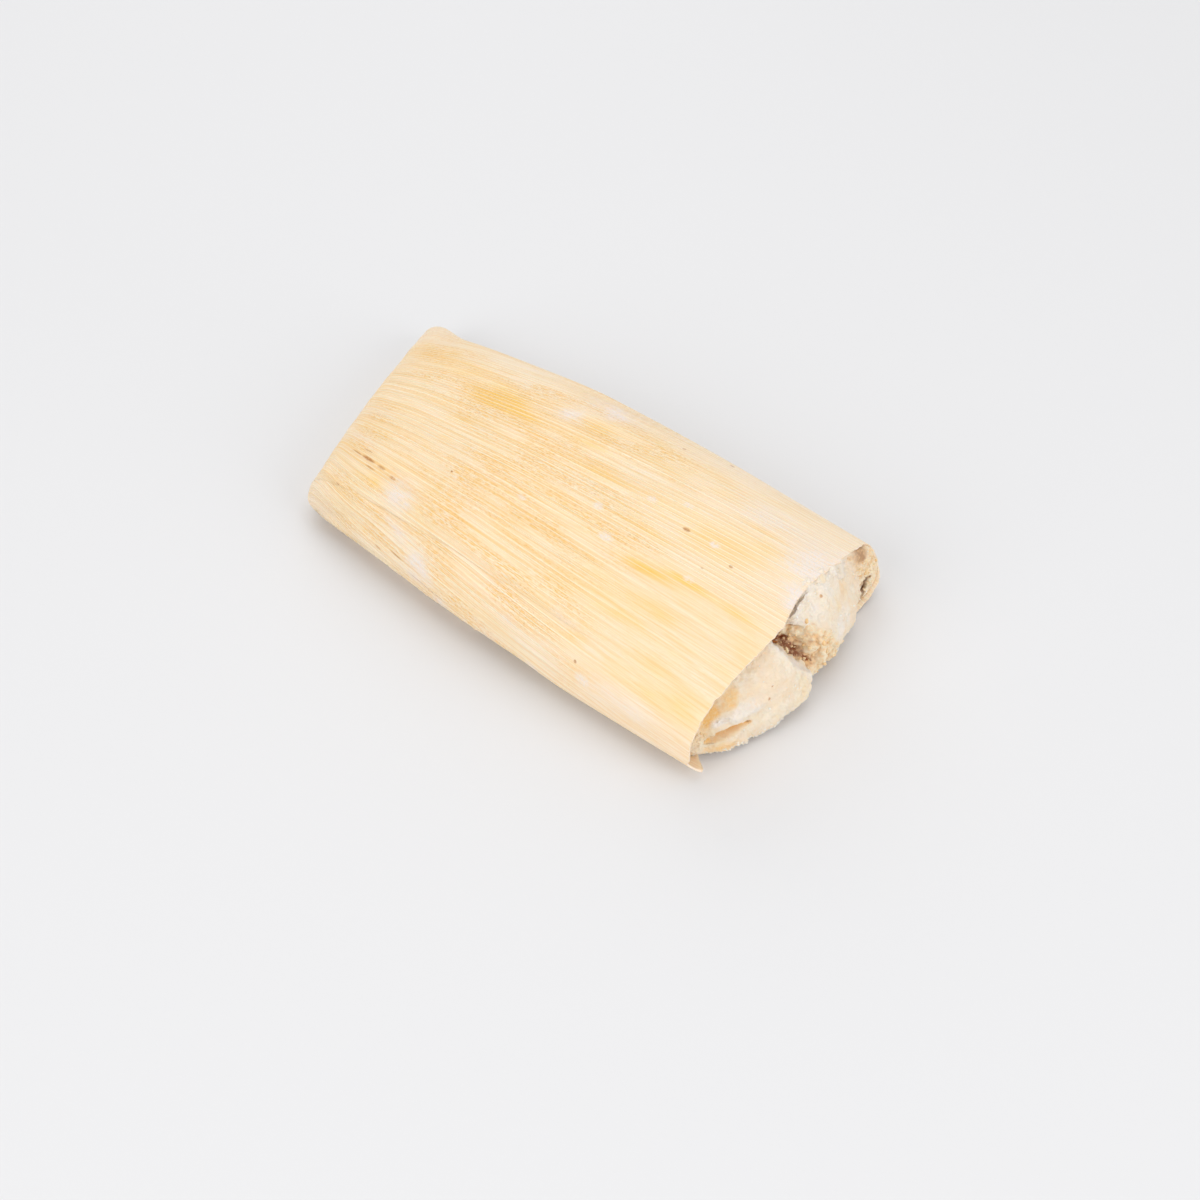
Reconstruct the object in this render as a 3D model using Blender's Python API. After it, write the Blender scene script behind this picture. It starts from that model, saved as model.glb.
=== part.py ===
"""Corn husk tamale: a flattened husk wrap with its dough and its filling.

X runs from the folded end to the open end, the long front side faces -Y and
the wrap lies on Z = 0.  All dimensions are millimetres until a mesh is made.
"""
import bpy
import bmesh
import numpy as np

MM = 0.001
WELD_DISTANCE = 0.00001     # metres; closes seams where rings meet

# Husk wrap
FOLD_X = -66.0          # fold line where it crosses the centre line
FOLD_SKEW = -0.39       # slope of the fold line across the wrap
FOLD_RADIUS = 5.2
WRAP_LENGTH = 122.0     # fold to open edge along the centre line
OPEN_X = 58.0           # mean x of the open edge
FRONT_CORNER = 4.8      # plan rounding of the two folded corners
BACK_CORNER = 4.5
HUSK_THICKNESS = 0.7
CAVITY_START = 7.0      # the husk is folded solid up to here
WIDEST_SHARE = 0.34     # height of the widest line, as a share of the height
TOP_POWER = 2.35        # squareness of the upper and lower half sections
BASE_POWERS = (2.2, 3.5)        # at the fold and from mid length on
BASE_CHANGE = (0.0, 0.4)        # share of the length over which the power changes
BASE_CUT = 0.3          # flat pressed into the rounded underside
INNER_ROUNDING = 0.3    # how much rounder an inner form closes per mm of its start
BACK_DROOP = 1.0        # the back edge sags towards the open end
DROOP_ACROSS = (8.0, 28.0)      # y, share of length and z over which it sets in
DROOP_ALONG = (0.6, 1.0)
DROOP_HEIGHT = (6.0, 16.0)
EDGE_ALONG = (0.3, 1.0)         # share of length over which rings turn to the open edge
HALF_COLUMNS = 24
# distances from the fold at which the wrap has a ring
BODY_RINGS = (14.0, 22.0, 33.0, 45.0, 57.0, 66.0, 71.0, 74.5, 77.5, 80.5, 84.0, 92.0,
              102.0, 112.0, WRAP_LENGTH)
OUTER_FOLD_RINGS = (0.0, 0.5, 1.4, 3.0, 5.0, 9.0)
INNER_FOLD_RINGS = (CAVITY_START, 7.5, 8.6, 10.5)

# share of length, front edge y, back edge y, height
WRAP_STATIONS = (
    (0.00, -29.8, 36.6, 10.4),
    (0.05, -30.4, 35.2, 14.2),
    (0.11, -31.2, 33.0, 17.6),
    (0.25, -32.7, 33.8, 21.2),
    (0.45, -34.3, 35.0, 23.6),
    (0.75, -35.2, 35.0, 23.4),
    (1.00, -34.4, 35.2, 21.4),
)
# turn round the section (0 front, 0.25 top, 0.5 back, 0.75 base), x of the open edge
OPEN_EDGE = (
    (0.00, 60.6),
    (0.10, 60.9),
    (0.22, 60.2),
    (0.26, 57.2),
    (0.33, 55.6),
    (0.40, 53.2),
    (0.46, 51.6),
    (0.52, 54.2),
    (0.62, 55.4),
    (0.75, 58.0),
    (0.84, 61.8),
    (0.90, 59.4),
    (0.94, 61.4),
    (1.00, 60.6),
)

# Folded-under tail of the husk
TAIL_THICKNESS = 1.2
TAIL_GAP = 0.4
TAIL_LENGTHS = (56.0, 70.0, 44.0)      # front edge, middle, back edge
TAIL_FRONT = ((0.0, -25.0), (12.0, -27.2), (35.0, -30.4), (70.0, -32.0))
TAIL_BACK = ((0.0, 29.0), (12.0, 29.5), (35.0, 29.5), (70.0, 29.0))
TAIL_RUN_OUT = (71.0, 84.0)            # the wrap comes down past the tail's tip
TAIL_BEND = (165.0, 270.0)             # angles of the bend round the fold
TAIL_SETBACK = 0.2                     # the bend's centre lies this far past the fold's
TAIL_SHARES = (0.35, 0.7)              # shares of the length with a point on each face
TAIL_TIP = (0.5, 0.4, 0.3)             # length, lower and upper rounding of the tip
TAIL_ROOT = ((6.2, 2.6), (4.5, 6.0))   # where its upper face runs into the wrap
TAIL_COLUMNS = 21

# Dough
DOUGH_GAP = 0.4
DOUGH_START = 9.0
DOUGH_END_CENTRE = (-1.0, 9.5)
DOUGH_END_POWER = 3.4
DOUGH_END_DEPTH = 10.0  # the rounding of the open end begins this far inside
DOUGH_END_ANGLES = (0.0, 12.0, 26.0, 42.0, 57.0, 70.0, 80.0, 87.0, 90.0)
DOUGH_RINGS = (DOUGH_START, 9.6, 11.0, 13.5, 18.0, 26.0, 36.0, 48.0, 60.0, 71.0, 74.5,
               77.5, 80.5, 84.0, 96.0, 106.0)
# y, x of the open face at the height it bulges most
DOUGH_FACE = (
    (-34.0, 52.0), (-29.0, 56.5), (-24.0, 60.0), (-20.0, 62.0), (-15.0, 63.6),
    (-10.0, 65.0), (-5.0, 65.6), (0.0, 63.8), (5.0, 62.9), (10.0, 62.0),
    (15.0, 60.6), (19.0, 59.2), (23.0, 56.2), (27.0, 53.8), (31.0, 52.8), (35.0, 51.2),
)
DOUGH_BULGE_HEIGHT = 7.0
DOUGH_LEAN_HEIGHT = 13.0        # above the bulge the face leans back
DOUGH_LEAN = 5.5                # by this much over that height
DOUGH_UNDERCUT = 2.0            # and by this much at the base

# Split between the two lobes of dough: y, z, half width, x of its bottom
SPLIT = (
    (-9.5, 25.0, 4.4, 52.0),
    (-6.8, 19.0, 4.4, 52.0),
    (-4.3, 14.5, 3.8, 54.5),
    (-1.2, 10.5, 2.8, 58.5),
    (1.6, 6.5, 2.0, 61.5),
    (3.0, 2.0, 1.4, 62.8),
)
SPLIT_MOUTH_X = 76.0
SPLIT_TIP = 1.0                 # depth of the rounded bottom
SPLIT_WIDTHS = (1.6, 0.7)       # half widths at the mouth and just above the bottom
SPLIT_SLANT = (0.86, 0.5)       # direction across the split, y and z

# Filling: x, y, z of its centre line, half width, half height
FILLING_GAP = 0.4
FILLING = (
    (-46.0, 2.0, 10.0, 3.0, 2.0),
    (-40.0, 1.5, 10.5, 7.0, 3.6),
    (-20.0, 0.5, 11.5, 8.5, 4.6),
    (5.0, -1.5, 12.0, 9.0, 4.8),
    (30.0, -4.0, 12.8, 8.5, 4.6),
    (48.0, -6.0, 13.8, 7.6, 4.2),
    (57.0, -6.6, 14.4, 6.4, 3.6),
    (58.4, -6.6, 14.4, 4.2, 2.2),
)
FILLING_COLUMNS = 18
FILLING_ROWS = 22
FILLING_EXTRA_ROWS = (-44.0, 56.9, 58.0)
FILLING_LUMPS = 0.06
FILLING_WAVES = ((3.0, 0.35), (2.0, -0.23))     # lumps round the section, turn per mm


def curve(table, at):
    """Read smooth monotone curves through a table at the given positions."""
    table = np.asarray(table, float)
    knots = table[:, 0]
    values = table[:, 1:]
    step = np.diff(knots)[:, None]
    slope = np.diff(values, axis=0) / step
    tangent = np.vstack([slope[:1], (slope[1:] + slope[:-1]) / 2, slope[-1:]])
    turning = slope[1:] * slope[:-1] <= 0
    tangent[1:-1][turning] = 0.0
    at = np.asarray(at, float)
    index = np.clip(np.searchsorted(knots, at, side="right") - 1, 0, len(knots) - 2)
    t = np.clip((at - knots[index]) / step[index, 0], 0.0, 1.0)[..., None]
    start = (2 * t ** 3 - 3 * t ** 2 + 1) * values[index]
    start += (t ** 3 - 2 * t ** 2 + t) * step[index] * tangent[index]
    end = (3 * t ** 2 - 2 * t ** 3) * values[index + 1]
    end += (t ** 3 - t ** 2) * step[index] * tangent[index + 1]
    return start + end


def ease(low, high, value):
    """Smooth step from 0 at low to 1 at high."""
    t = np.clip((value - low) / (high - low), 0.0, 1.0)
    return t * t * (3.0 - 2.0 * t)


def fold_x(y):
    """x of the fold line, with its two rounded corners."""
    first, last = WRAP_STATIONS[0][1:3]
    front = np.clip((first + FRONT_CORNER - y) / FRONT_CORNER, 0.0, 1.0)
    back = np.clip((y - last + BACK_CORNER) / BACK_CORNER, 0.0, 1.0)
    rounding = FRONT_CORNER * (1.0 - np.sqrt(1.0 - front ** 2))
    rounding += BACK_CORNER * (1.0 - np.sqrt(1.0 - back ** 2))
    return FOLD_X + FOLD_SKEW * y + rounding


def section_turns():
    """Turns round the section; base columns mirror the upper ones in y."""
    upper = np.linspace(0.0, 0.5, HALF_COLUMNS + 1)
    return np.concatenate([upper, 0.5 + upper[1:-1]])


def half_sections(turn, base_power):
    """Signed y share and z share of the squared-off section at each turn."""
    cosine = -np.cos(2.0 * np.pi * turn)
    power = np.where(turn <= 0.5, TOP_POWER, base_power)
    rise = (1.0 - np.abs(cosine) ** power) ** (1.0 / power)
    return cosine, np.where(turn <= 0.5, rise, -rise)


def droop(share, y, z):
    """How far the back of the wrap sags."""
    return BACK_DROOP * ease(*DROOP_ALONG, share) * ease(*DROOP_ACROSS, y) * ease(*DROOP_HEIGHT, z)


def wrap_row(distance, start=0.0, inset=0.0):
    """One ring of the wrap, inset from its outside, at a distance from the fold."""
    turn = section_turns()
    share = distance / WRAP_LENGTH
    at_fold, later = BASE_POWERS
    base_power = at_fold + (later - at_fold) * ease(*BASE_CHANGE, share)
    across, rise = half_sections(turn, base_power)
    front, back, height = curve(WRAP_STATIONS, share)
    radius = FOLD_RADIUS + INNER_ROUNDING * start
    closing = np.sqrt(1.0 - (1.0 - np.clip((distance - start) / radius, 0.0, 1.0)) ** 2)
    widest = max(WIDEST_SHARE * height, FOLD_RADIUS)
    base = (TAIL_THICKNESS + TAIL_GAP) * (1.0 - ease(*TAIL_RUN_OUT, distance))
    y = (front + back) / 2.0 + ((back - front) / 2.0 - inset) * across
    upper = (height - inset - widest) * closing
    lower = (widest - base - inset + BASE_CUT) * closing
    z = widest + np.where(rise > 0.0, upper, lower) * rise
    z = np.maximum(z, base + inset)
    z = z - droop(share, y, z)
    edge = curve(OPEN_EDGE, turn)[:, 0]
    x = fold_x(y) * (1.0 - share) + OPEN_X * share
    x = x + (edge - OPEN_X) * ease(*EDGE_ALONG, share)
    return np.stack([x, y, z], axis=-1)


def husk_rows():
    """Rings up the outside of the wrap and back down its inside."""
    rows = [wrap_row(distance) for distance in OUTER_FOLD_RINGS + BODY_RINGS]
    rows += [wrap_row(distance, CAVITY_START, HUSK_THICKNESS)
             for distance in reversed(INNER_FOLD_RINGS + BODY_RINGS)]
    return rows


def tail_profile(length):
    """Side profile of the folded tail: distance from the fold, height."""
    centre = FOLD_RADIUS + TAIL_SETBACK
    bend = [(centre + FOLD_RADIUS * np.cos(a), FOLD_RADIUS + FOLD_RADIUS * np.sin(a))
            for a in np.radians(np.linspace(*TAIL_BEND, 7))]
    top = TAIL_THICKNESS
    back, low, high = TAIL_TIP
    base = [(share * length, 0.0) for share in TAIL_SHARES]
    tip = [(length - back, 0.0), (length, low), (length, top - high), (length - back, top)]
    upper = [(share * length, top) for share in reversed(TAIL_SHARES)]
    return bend + base + tip + upper + [(CAVITY_START, top), *TAIL_ROOT]


def tail_rows():
    """Profiles of the tail from its front edge to its back edge."""
    rows = []
    for across in -np.cos(np.linspace(0.0, np.pi, TAIL_COLUMNS)):
        front, middle, back = TAIL_LENGTHS
        side = front if across < 0.0 else back
        length = side + (middle - side) * (1.0 - across ** 4)
        profile = np.array(tail_profile(length))
        low = curve(TAIL_FRONT, profile[:, 0])[:, 0]
        high = curve(TAIL_BACK, profile[:, 0])[:, 0]
        y = (low + high) / 2.0 + (high - low) / 2.0 * across
        share = profile[:, 0] / WRAP_LENGTH
        x = fold_x(y) * (1.0 - share) + OPEN_X * share
        rows.append(np.stack([x, y, profile[:, 1]], axis=-1))
    return rows


def dough_face_x(y, z):
    """x of the open face of the dough."""
    above = np.clip((z - DOUGH_BULGE_HEIGHT) / DOUGH_LEAN_HEIGHT, 0.0, None)
    below = np.clip((DOUGH_BULGE_HEIGHT - z) / DOUGH_BULGE_HEIGHT, 0.0, None)
    face = curve(DOUGH_FACE, y)[..., 0]
    return face - DOUGH_LEAN * above ** 2 - DOUGH_UNDERCUT * below ** 2


def dough_rows():
    """Rings along the dough, closing over the lobed open face."""
    inset = HUSK_THICKNESS + DOUGH_GAP
    rows = [wrap_row(distance, DOUGH_START, inset) for distance in DOUGH_RINGS]
    rim = wrap_row(WRAP_LENGTH - DOUGH_END_DEPTH, DOUGH_START, inset)
    for angle in np.radians(DOUGH_END_ANGLES):
        shrink = np.cos(angle) ** (2.0 / DOUGH_END_POWER)
        reach = np.sin(angle) ** (2.0 / DOUGH_END_POWER)
        row = rim.copy()
        row[:, 1:] = DOUGH_END_CENTRE + (rim[:, 1:] - DOUGH_END_CENTRE) * shrink
        face = dough_face_x(row[:, 1], row[:, 2])
        row[:, 0] = rim[:, 0] + (face - rim[:, 0]) * reach
        rows.append(row)
    return rows


def split_rows():
    """Wedge sections along the split between the lobes of dough."""
    mouth, floor = SPLIT_WIDTHS
    rows = []
    for y, z, half, bottom in SPLIT:
        outline = ((SPLIT_MOUTH_X, -mouth), (bottom, -floor), (bottom - SPLIT_TIP, 0.0),
                   (bottom, floor), (SPLIT_MOUTH_X, mouth))
        rows.append(np.array([(x, y + SPLIT_SLANT[0] * half * across,
                               z + SPLIT_SLANT[1] * half * across) for x, across in outline]))
    return rows


def filling_rows(grow=0.0):
    """Rings along the filling; grow gives the tunnel it lies in."""
    turn = np.linspace(0.0, 2.0 * np.pi, FILLING_COLUMNS, endpoint=False)
    stations = np.linspace(FILLING[0][0], FILLING[-1][0], FILLING_ROWS)
    stations = np.sort(np.append(stations, FILLING_EXTRA_ROWS))
    rows = []
    for x, (y, z, wide, high) in zip(stations, curve(FILLING, stations)):
        lumps = 1.0 + FILLING_LUMPS * sum(np.sin(count * turn + twist * x)
                                          for count, twist in FILLING_WAVES)
        ring_y = y + (wide * lumps + grow) * np.cos(turn)
        ring_z = z + (high * lumps + grow) * np.sin(turn)
        ring_x = np.full_like(turn, x)
        rows.append(np.stack([ring_x, ring_y, ring_z], axis=-1))
    rows[0][:, 0] -= grow
    rows[-1][:, 0] += grow
    return rows


def material(name, colour, roughness):
    """A plain Principled material."""
    made = bpy.data.materials.new(name)
    made.use_nodes = True
    shader = made.node_tree.nodes["Principled BSDF"]
    shader.inputs["Base Color"].default_value = (*colour, 1.0)
    shader.inputs["Roughness"].default_value = roughness
    return made


def loft(name, rows, capped):
    """Skin closed rings in order; capped closes the first and last ring."""
    mesh_data = bmesh.new()
    rings = [[mesh_data.verts.new(point * MM) for point in row] for row in rows]
    count = len(rings[0])
    for low, high in zip(rings, rings[1:]):
        for i in range(count):
            j = (i + 1) % count
            mesh_data.faces.new((low[i], low[j], high[j]))
            mesh_data.faces.new((low[i], high[j], high[i]))
    if capped:
        mesh_data.faces.new(list(reversed(rings[0])))
        mesh_data.faces.new(rings[-1])
    bmesh.ops.remove_doubles(mesh_data, verts=mesh_data.verts, dist=WELD_DISTANCE)
    bmesh.ops.recalc_face_normals(mesh_data, faces=mesh_data.faces)
    mesh = bpy.data.meshes.new(name)
    mesh_data.to_mesh(mesh)
    mesh_data.free()
    made = bpy.data.objects.new(name, mesh)
    bpy.context.scene.collection.objects.link(made)
    return made


def combine(target, tool, operation):
    """Apply an exact boolean and remove the tool."""
    modifier = target.modifiers.new("combine", "BOOLEAN")
    modifier.operation = operation
    modifier.solver = "EXACT"
    modifier.object = tool
    bpy.context.view_layer.objects.active = target
    bpy.ops.object.modifier_apply(modifier=modifier.name)
    bpy.data.objects.remove(tool, do_unlink=True)


def build_husk():
    """The wrap, open at one end, with its tail folded underneath."""
    husk = loft("husk", husk_rows(), capped=False)
    combine(husk, loft("tail", tail_rows(), capped=True), "UNION")
    husk.data.materials.append(material("corn_husk", (0.93, 0.76, 0.49), 0.6))
    return husk


def build_masa():
    """The dough inside the wrap, split open where the filling shows."""
    masa = loft("masa", dough_rows(), capped=False)
    combine(masa, loft("tunnel", filling_rows(FILLING_GAP), capped=True), "DIFFERENCE")
    combine(masa, loft("split", split_rows(), capped=True), "DIFFERENCE")
    masa.data.materials.append(material("steamed_masa", (0.93, 0.82, 0.62), 0.85))
    return masa


def build_filling():
    """The line of meat that runs through the dough."""
    filling = loft("filling", filling_rows(), capped=True)
    filling.data.materials.append(material("cooked_meat", (0.32, 0.13, 0.05), 0.6))
    return filling


def centre_on_origin(parts):
    """Put the middle of the underside of the whole at the origin."""
    points = np.concatenate([[v.co for v in part.data.vertices] for part in parts])
    low = points.min(axis=0)
    high = points.max(axis=0)
    shift = ((low[0] + high[0]) / 2.0, (low[1] + high[1]) / 2.0, low[2])
    for part in parts:
        for vertex in part.data.vertices:
            vertex.co.x -= shift[0]
            vertex.co.y -= shift[1]
            vertex.co.z -= shift[2]


def main():
    """Clear the scene and build the three parts."""
    for old in list(bpy.data.objects):
        bpy.data.objects.remove(old, do_unlink=True)
    centre_on_origin([build_husk(), build_masa(), build_filling()])


main()
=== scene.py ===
from functools import reduce

import bmesh
import bpy
import numpy as np
from mathutils import Matrix, Vector


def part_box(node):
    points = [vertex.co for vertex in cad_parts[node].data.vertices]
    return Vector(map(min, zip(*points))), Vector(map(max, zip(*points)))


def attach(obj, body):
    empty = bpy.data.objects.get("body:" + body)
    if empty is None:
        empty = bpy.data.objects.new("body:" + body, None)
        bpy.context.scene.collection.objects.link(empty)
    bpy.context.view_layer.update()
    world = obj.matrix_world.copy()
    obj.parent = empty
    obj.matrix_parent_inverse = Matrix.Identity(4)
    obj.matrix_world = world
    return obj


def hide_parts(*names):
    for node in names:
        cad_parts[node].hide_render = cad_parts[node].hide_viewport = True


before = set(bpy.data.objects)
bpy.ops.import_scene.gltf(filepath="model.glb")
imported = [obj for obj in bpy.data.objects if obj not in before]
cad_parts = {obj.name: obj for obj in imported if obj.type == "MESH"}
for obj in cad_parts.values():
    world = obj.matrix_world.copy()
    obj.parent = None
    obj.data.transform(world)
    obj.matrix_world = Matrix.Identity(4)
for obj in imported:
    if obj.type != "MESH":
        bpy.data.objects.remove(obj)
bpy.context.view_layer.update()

MM = 0.001

# ---- the part's own form, in mm
FOLD_X = -66
FOLD_SKEW = -0.39
FOLD_RADIUS = 5.2
WRAP_LENGTH = 122
OPEN_X = 58
FRONT_CORNER = 4.8
BACK_CORNER = 4.5
CAVITY_START = 7
TYPICAL_SHARE = 0.55        # the section here sets how points are spaced round the wrap
WIDEST_SHARE = 0.34         # the section is widest at this share of its height
TOP_POWER = 2.35
BASE_POWERS = (2.2, 3.5)
BACK_DROOP = 1
BASE_CUT = 0.3
# share of the length, front y, back y, height
WRAP_STATIONS = (
    (0.00, -29.8, 36.6, 10.4), (0.05, -30.4, 35.2, 14.2),
    (0.11, -31.2, 33, 17.6), (0.25, -32.7, 33.8, 21.2),
    (0.45, -34.3, 35, 23.6), (0.75, -35.2, 35, 23.4),
    (1.00, -34.4, 35.2, 21.4),
)
# turn round the section from the middle of the base, x of the open edge
OPEN_EDGE = (
    (0.00, 60.6), (0.10, 60.9), (0.22, 60.2), (0.26, 57.2), (0.33, 55.6), (0.40, 53.2),
    (0.46, 51.6), (0.52, 54.2), (0.62, 55.4), (0.75, 58), (0.84, 61.8), (0.90, 59.4),
    (0.94, 61.4), (1.00, 60.6),
)
TAIL_THICKNESS = 1.2
TAIL_GAP = 0.4
TAIL_LENGTHS = (56, 70, 44)
TAIL_FRONT = ((0, -25), (12, -27.2), (35, -30.4), (70, -32))
TAIL_BACK = ((0, 29), (12, 29.5), (35, 29.5), (70, 29))
TAIL_RUN_OUT = (71, 84)
DOUGH_START = 9
# y, x of the open face of the dough
DOUGH_FACE = (
    (-34, 56), (-29, 59.3), (-24, 61.6), (-20, 62.6), (-15, 63.8),
    (-10, 65), (-5, 65.6), (0, 63.6), (5, 62.7), (10, 61.9),
    (15, 60.4), (19, 59.2), (22, 56.8), (24.5, 55), (27, 54.3), (31, 54.2),
    (35, 54),
)
DOUGH_BULGE_HEIGHT = 7
DOUGH_LEAN_HEIGHT = 13
DOUGH_LEAN = 5.5
FLANK_TILT = 0.42           # the far flank of the face lies this much further out lower down
# y, z, half width of the split, x of its floor
SPLIT = (
    (-9.5, 25, 2.5, 53), (-6.8, 19, 2.6, 53),
    (-4.3, 14.5, 3.2, 55), (-1.2, 10.5, 2.8, 58.5),
    (1.6, 6.5, 2, 61.5), (3, 2, 1.4, 62.8),
)
# x, y, z of the meat's middle line, half width, half height
FILLING = (
    (-46, 2, 10, 3, 2), (-40, 1.5, 10.5, 7, 3.6),
    (-20, 0.5, 11.5, 8.5, 4.6), (5, -1.5, 12, 9, 4.8),
    (30, -4, 12.8, 8.5, 4.6), (48, -6, 13.8, 7, 4.2),
    (55.2, -7, 14, 5, 3.4), (56.6, -7, 14, 3.4, 2.2),
)

# ---- sizes of the dressing, in mm
HUSK_COLUMNS = 560          # round the upper half of the wrap, and as many below
HUSK_PLY = 0.40             # one leaf of husk
# how the fibres fan out: distance from the fold, spread per mm, the arc where they run straight
FIBRE_FAN = (
    (0, 0.0160, -2), (8, 0.0135, -3),
    (12, 0.0100, -1), (16, 0.0055, 3),
    (20, 0.0035, 8), (30, 0.0030, 10),
    (40, 0.0025, 4), (46, 0.0032, -8),
    (54, 0.0040, -16), (75, 0.0033, -14),
    (90, 0.0030, -18), (122, 0.0020, -10),
)
VEIN_SPACING = 1.30
HAIR_SPACING = 0.46         # the fine lines between the veins
VEIN_HEIGHT = 0.085
MASA_COLUMNS = 420
MASA_ROWS = 170
MASA_INSET = 0.62
MASA_RIM = 112              # the modelled end of the dough begins this far from the fold
SMEAR_TURNS = (0.256, 0.352)        # dough smeared over the husk's edge: where round the wrap
SMEAR_REACH = (118, 123)            # and along it
SMEAR_SHORE = 120.6                 # where it begins to cover the husk
SMEAR_HEIGHT = 0.28
SMEAR_GIRTH = 170                   # mm to one turn there
RIM_RISE = 1.35             # the dough swells this much just past the husk's edge
# leaves of the tail: how deep it lies, thickness, lengths at its front, middle and back, columns
TAIL_LEAVES = ((0.03, 0.45, TAIL_LENGTHS, 300), (0.62, 0.45, (52, 66, 41), 200))
TAIL_TUCK = 1.1             # the folded tail's front edge lies this far back
CLEARANCE = 0.02            # nothing comes closer to the ground than this


# ---- numbers
def curve(table, at):
    """Read smooth monotone curves through a table at the given positions."""
    table = np.asarray(table, float)
    knots = table[:, 0]
    values = table[:, 1:]
    step = np.diff(knots)[:, None]
    slope = np.diff(values, axis=0) / step
    tangent = np.vstack([slope[:1], (slope[1:] + slope[:-1]) / 2, slope[-1:]])
    turning = slope[1:] * slope[:-1] <= 0
    tangent[1:-1][turning] = 0
    at = np.asarray(at, float)
    index = np.clip(np.searchsorted(knots, at, side="right") - 1, 0, len(knots) - 2)
    t = unit((at - knots[index]) / step[index, 0])[..., None]
    start = (2 * t ** 3 - 3 * t ** 2 + 1) * values[index]
    start += (t ** 3 - 2 * t ** 2 + t) * step[index] * tangent[index]
    end = (3 * t ** 2 - 2 * t ** 3) * values[index + 1]
    end += (t ** 3 - t ** 2) * step[index] * tangent[index + 1]
    return start + end


def ease(low, high, value):
    """Smooth step from 0 at low to 1 at high."""
    t = unit((value - low) / (high - low))
    return t * t * (3 - 2 * t)


def fall(low, high, value):
    """Smooth step from 1 at low to 0 at high."""
    return 1 - ease(low, high, value)


def unit(value):
    """A value held between 0 and 1."""
    return np.clip(value, 0, 1)


def most(*values):
    """The largest of several arrays, point by point."""
    return reduce(np.maximum, values)


def hump(value, centre, width):
    """A bell of height 1."""
    return np.exp(-((value - centre) / width) ** 2)


def hashed(cell, seed):
    """Repeatable numbers from 0 to 1 for whole-number cells."""
    value = np.full(cell.shape[:-1], seed * 7919 + 12345, np.uint64)
    for axis in range(cell.shape[-1]):
        value = value ^ (cell[..., axis].astype(np.int64).astype(np.uint64)
                         + np.uint64(0x9E3779B97F4A7C15))
        value = value * np.uint64(0xBF58476D1CE4E5B9)
        value = value ^ (value >> np.uint64(29))
        value = value * np.uint64(0x94D049BB133111EB)
        value = value ^ (value >> np.uint64(32))
    return (value >> np.uint64(11)).astype(float) / 2 ** 53


def noise(points, seed):
    """Smooth noise from -1 to 1; the last axis of points holds the coordinates."""
    low = np.floor(points)
    part = points - low
    part = part * part * (3 - 2 * part)
    total = 0
    for corner in np.ndindex(*(2,) * points.shape[-1]):
        weight = np.prod(np.where(np.array(corner, bool), part, 1 - part), axis=-1)
        total = total + weight * hashed(low + np.array(corner), seed)
    return 2 * total - 1


def rough(points, seed, octaves=3):
    """Several octaves of noise, about -1 to 1."""
    total = 0
    for octave in range(octaves):
        total = total + noise(points * 2.03 ** octave, seed + 17 * octave) * 0.5 ** octave
    return total / (2 - 0.5 ** (octaves - 1))


def crumb_cells(points, seed):
    """Distance to the nearest and to the second nearest of scattered centres."""
    low = np.floor(points)
    first = np.full(points.shape[:-1], 9.0)
    second = first.copy()
    for offset in np.ndindex(3, 3, 3):
        cell = low + np.array(offset) - 1
        centre = cell + np.stack([hashed(cell, seed + k) for k in range(3)], axis=-1)
        gap = np.linalg.norm(points - centre, axis=-1)
        second = np.minimum(second, np.maximum(first, gap))
        first = np.minimum(first, gap)
    return first, second


def fields(*parts):
    """Stack coordinates on a new last axis."""
    return np.stack(np.broadcast_arrays(*parts), axis=-1)


# ---- surfaces of the part
def fold_x(y):
    """x of the fold line, with its two rounded corners."""
    first, last = WRAP_STATIONS[0][1:3]
    front = unit((first + FRONT_CORNER - y) / FRONT_CORNER)
    back = unit((y - last + BACK_CORNER) / BACK_CORNER)
    rounding = FRONT_CORNER * (1 - np.sqrt(1 - front ** 2))
    rounding = rounding + BACK_CORNER * (1 - np.sqrt(1 - back ** 2))
    return FOLD_X + FOLD_SKEW * y + rounding


def wrap(distance, turn, start=0, inset=0):
    """Points of the wrap at distances from the fold and turns round the section."""
    distance, turn = np.broadcast_arrays(np.asarray(distance, float), turn)
    share = distance / WRAP_LENGTH
    turn = turn % 1
    at_fold, later = BASE_POWERS
    cosine = -np.cos(2 * np.pi * turn)
    base_power = at_fold + (later - at_fold) * ease(0, 0.4, share)
    power = np.where(turn <= 0.5, TOP_POWER, base_power)
    rise = (1 - np.minimum(np.abs(cosine), 1) ** power) ** (1 / power)
    rise = np.where(turn <= 0.5, rise, -rise)
    front, back, height = np.moveaxis(curve(WRAP_STATIONS, share), -1, 0)
    radius = FOLD_RADIUS + 0.3 * start
    closing = np.sqrt(1 - (1 - unit((distance - start) / radius)) ** 2)
    widest = np.maximum(WIDEST_SHARE * height, FOLD_RADIUS)
    base = (TAIL_THICKNESS + TAIL_GAP) * fall(*TAIL_RUN_OUT, distance)
    y = (front + back) / 2 + ((back - front) / 2 - inset) * cosine
    upper = (height - inset - widest) * closing
    lower = (widest - base - inset + BASE_CUT) * closing
    z = widest + np.where(rise > 0, upper, lower) * rise
    z = np.maximum(z, base + inset)
    z = z - BACK_DROOP * ease(8, 28, y) * ease(0.6, 1, share) * ease(6, 16, z)
    edge = curve(OPEN_EDGE, turn)[..., 0]
    x = fold_x(y) * (1 - share) + OPEN_X * share
    x = x + (edge - OPEN_X) * ease(0.3, 1, share)
    return fields(x, y, z)


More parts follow.
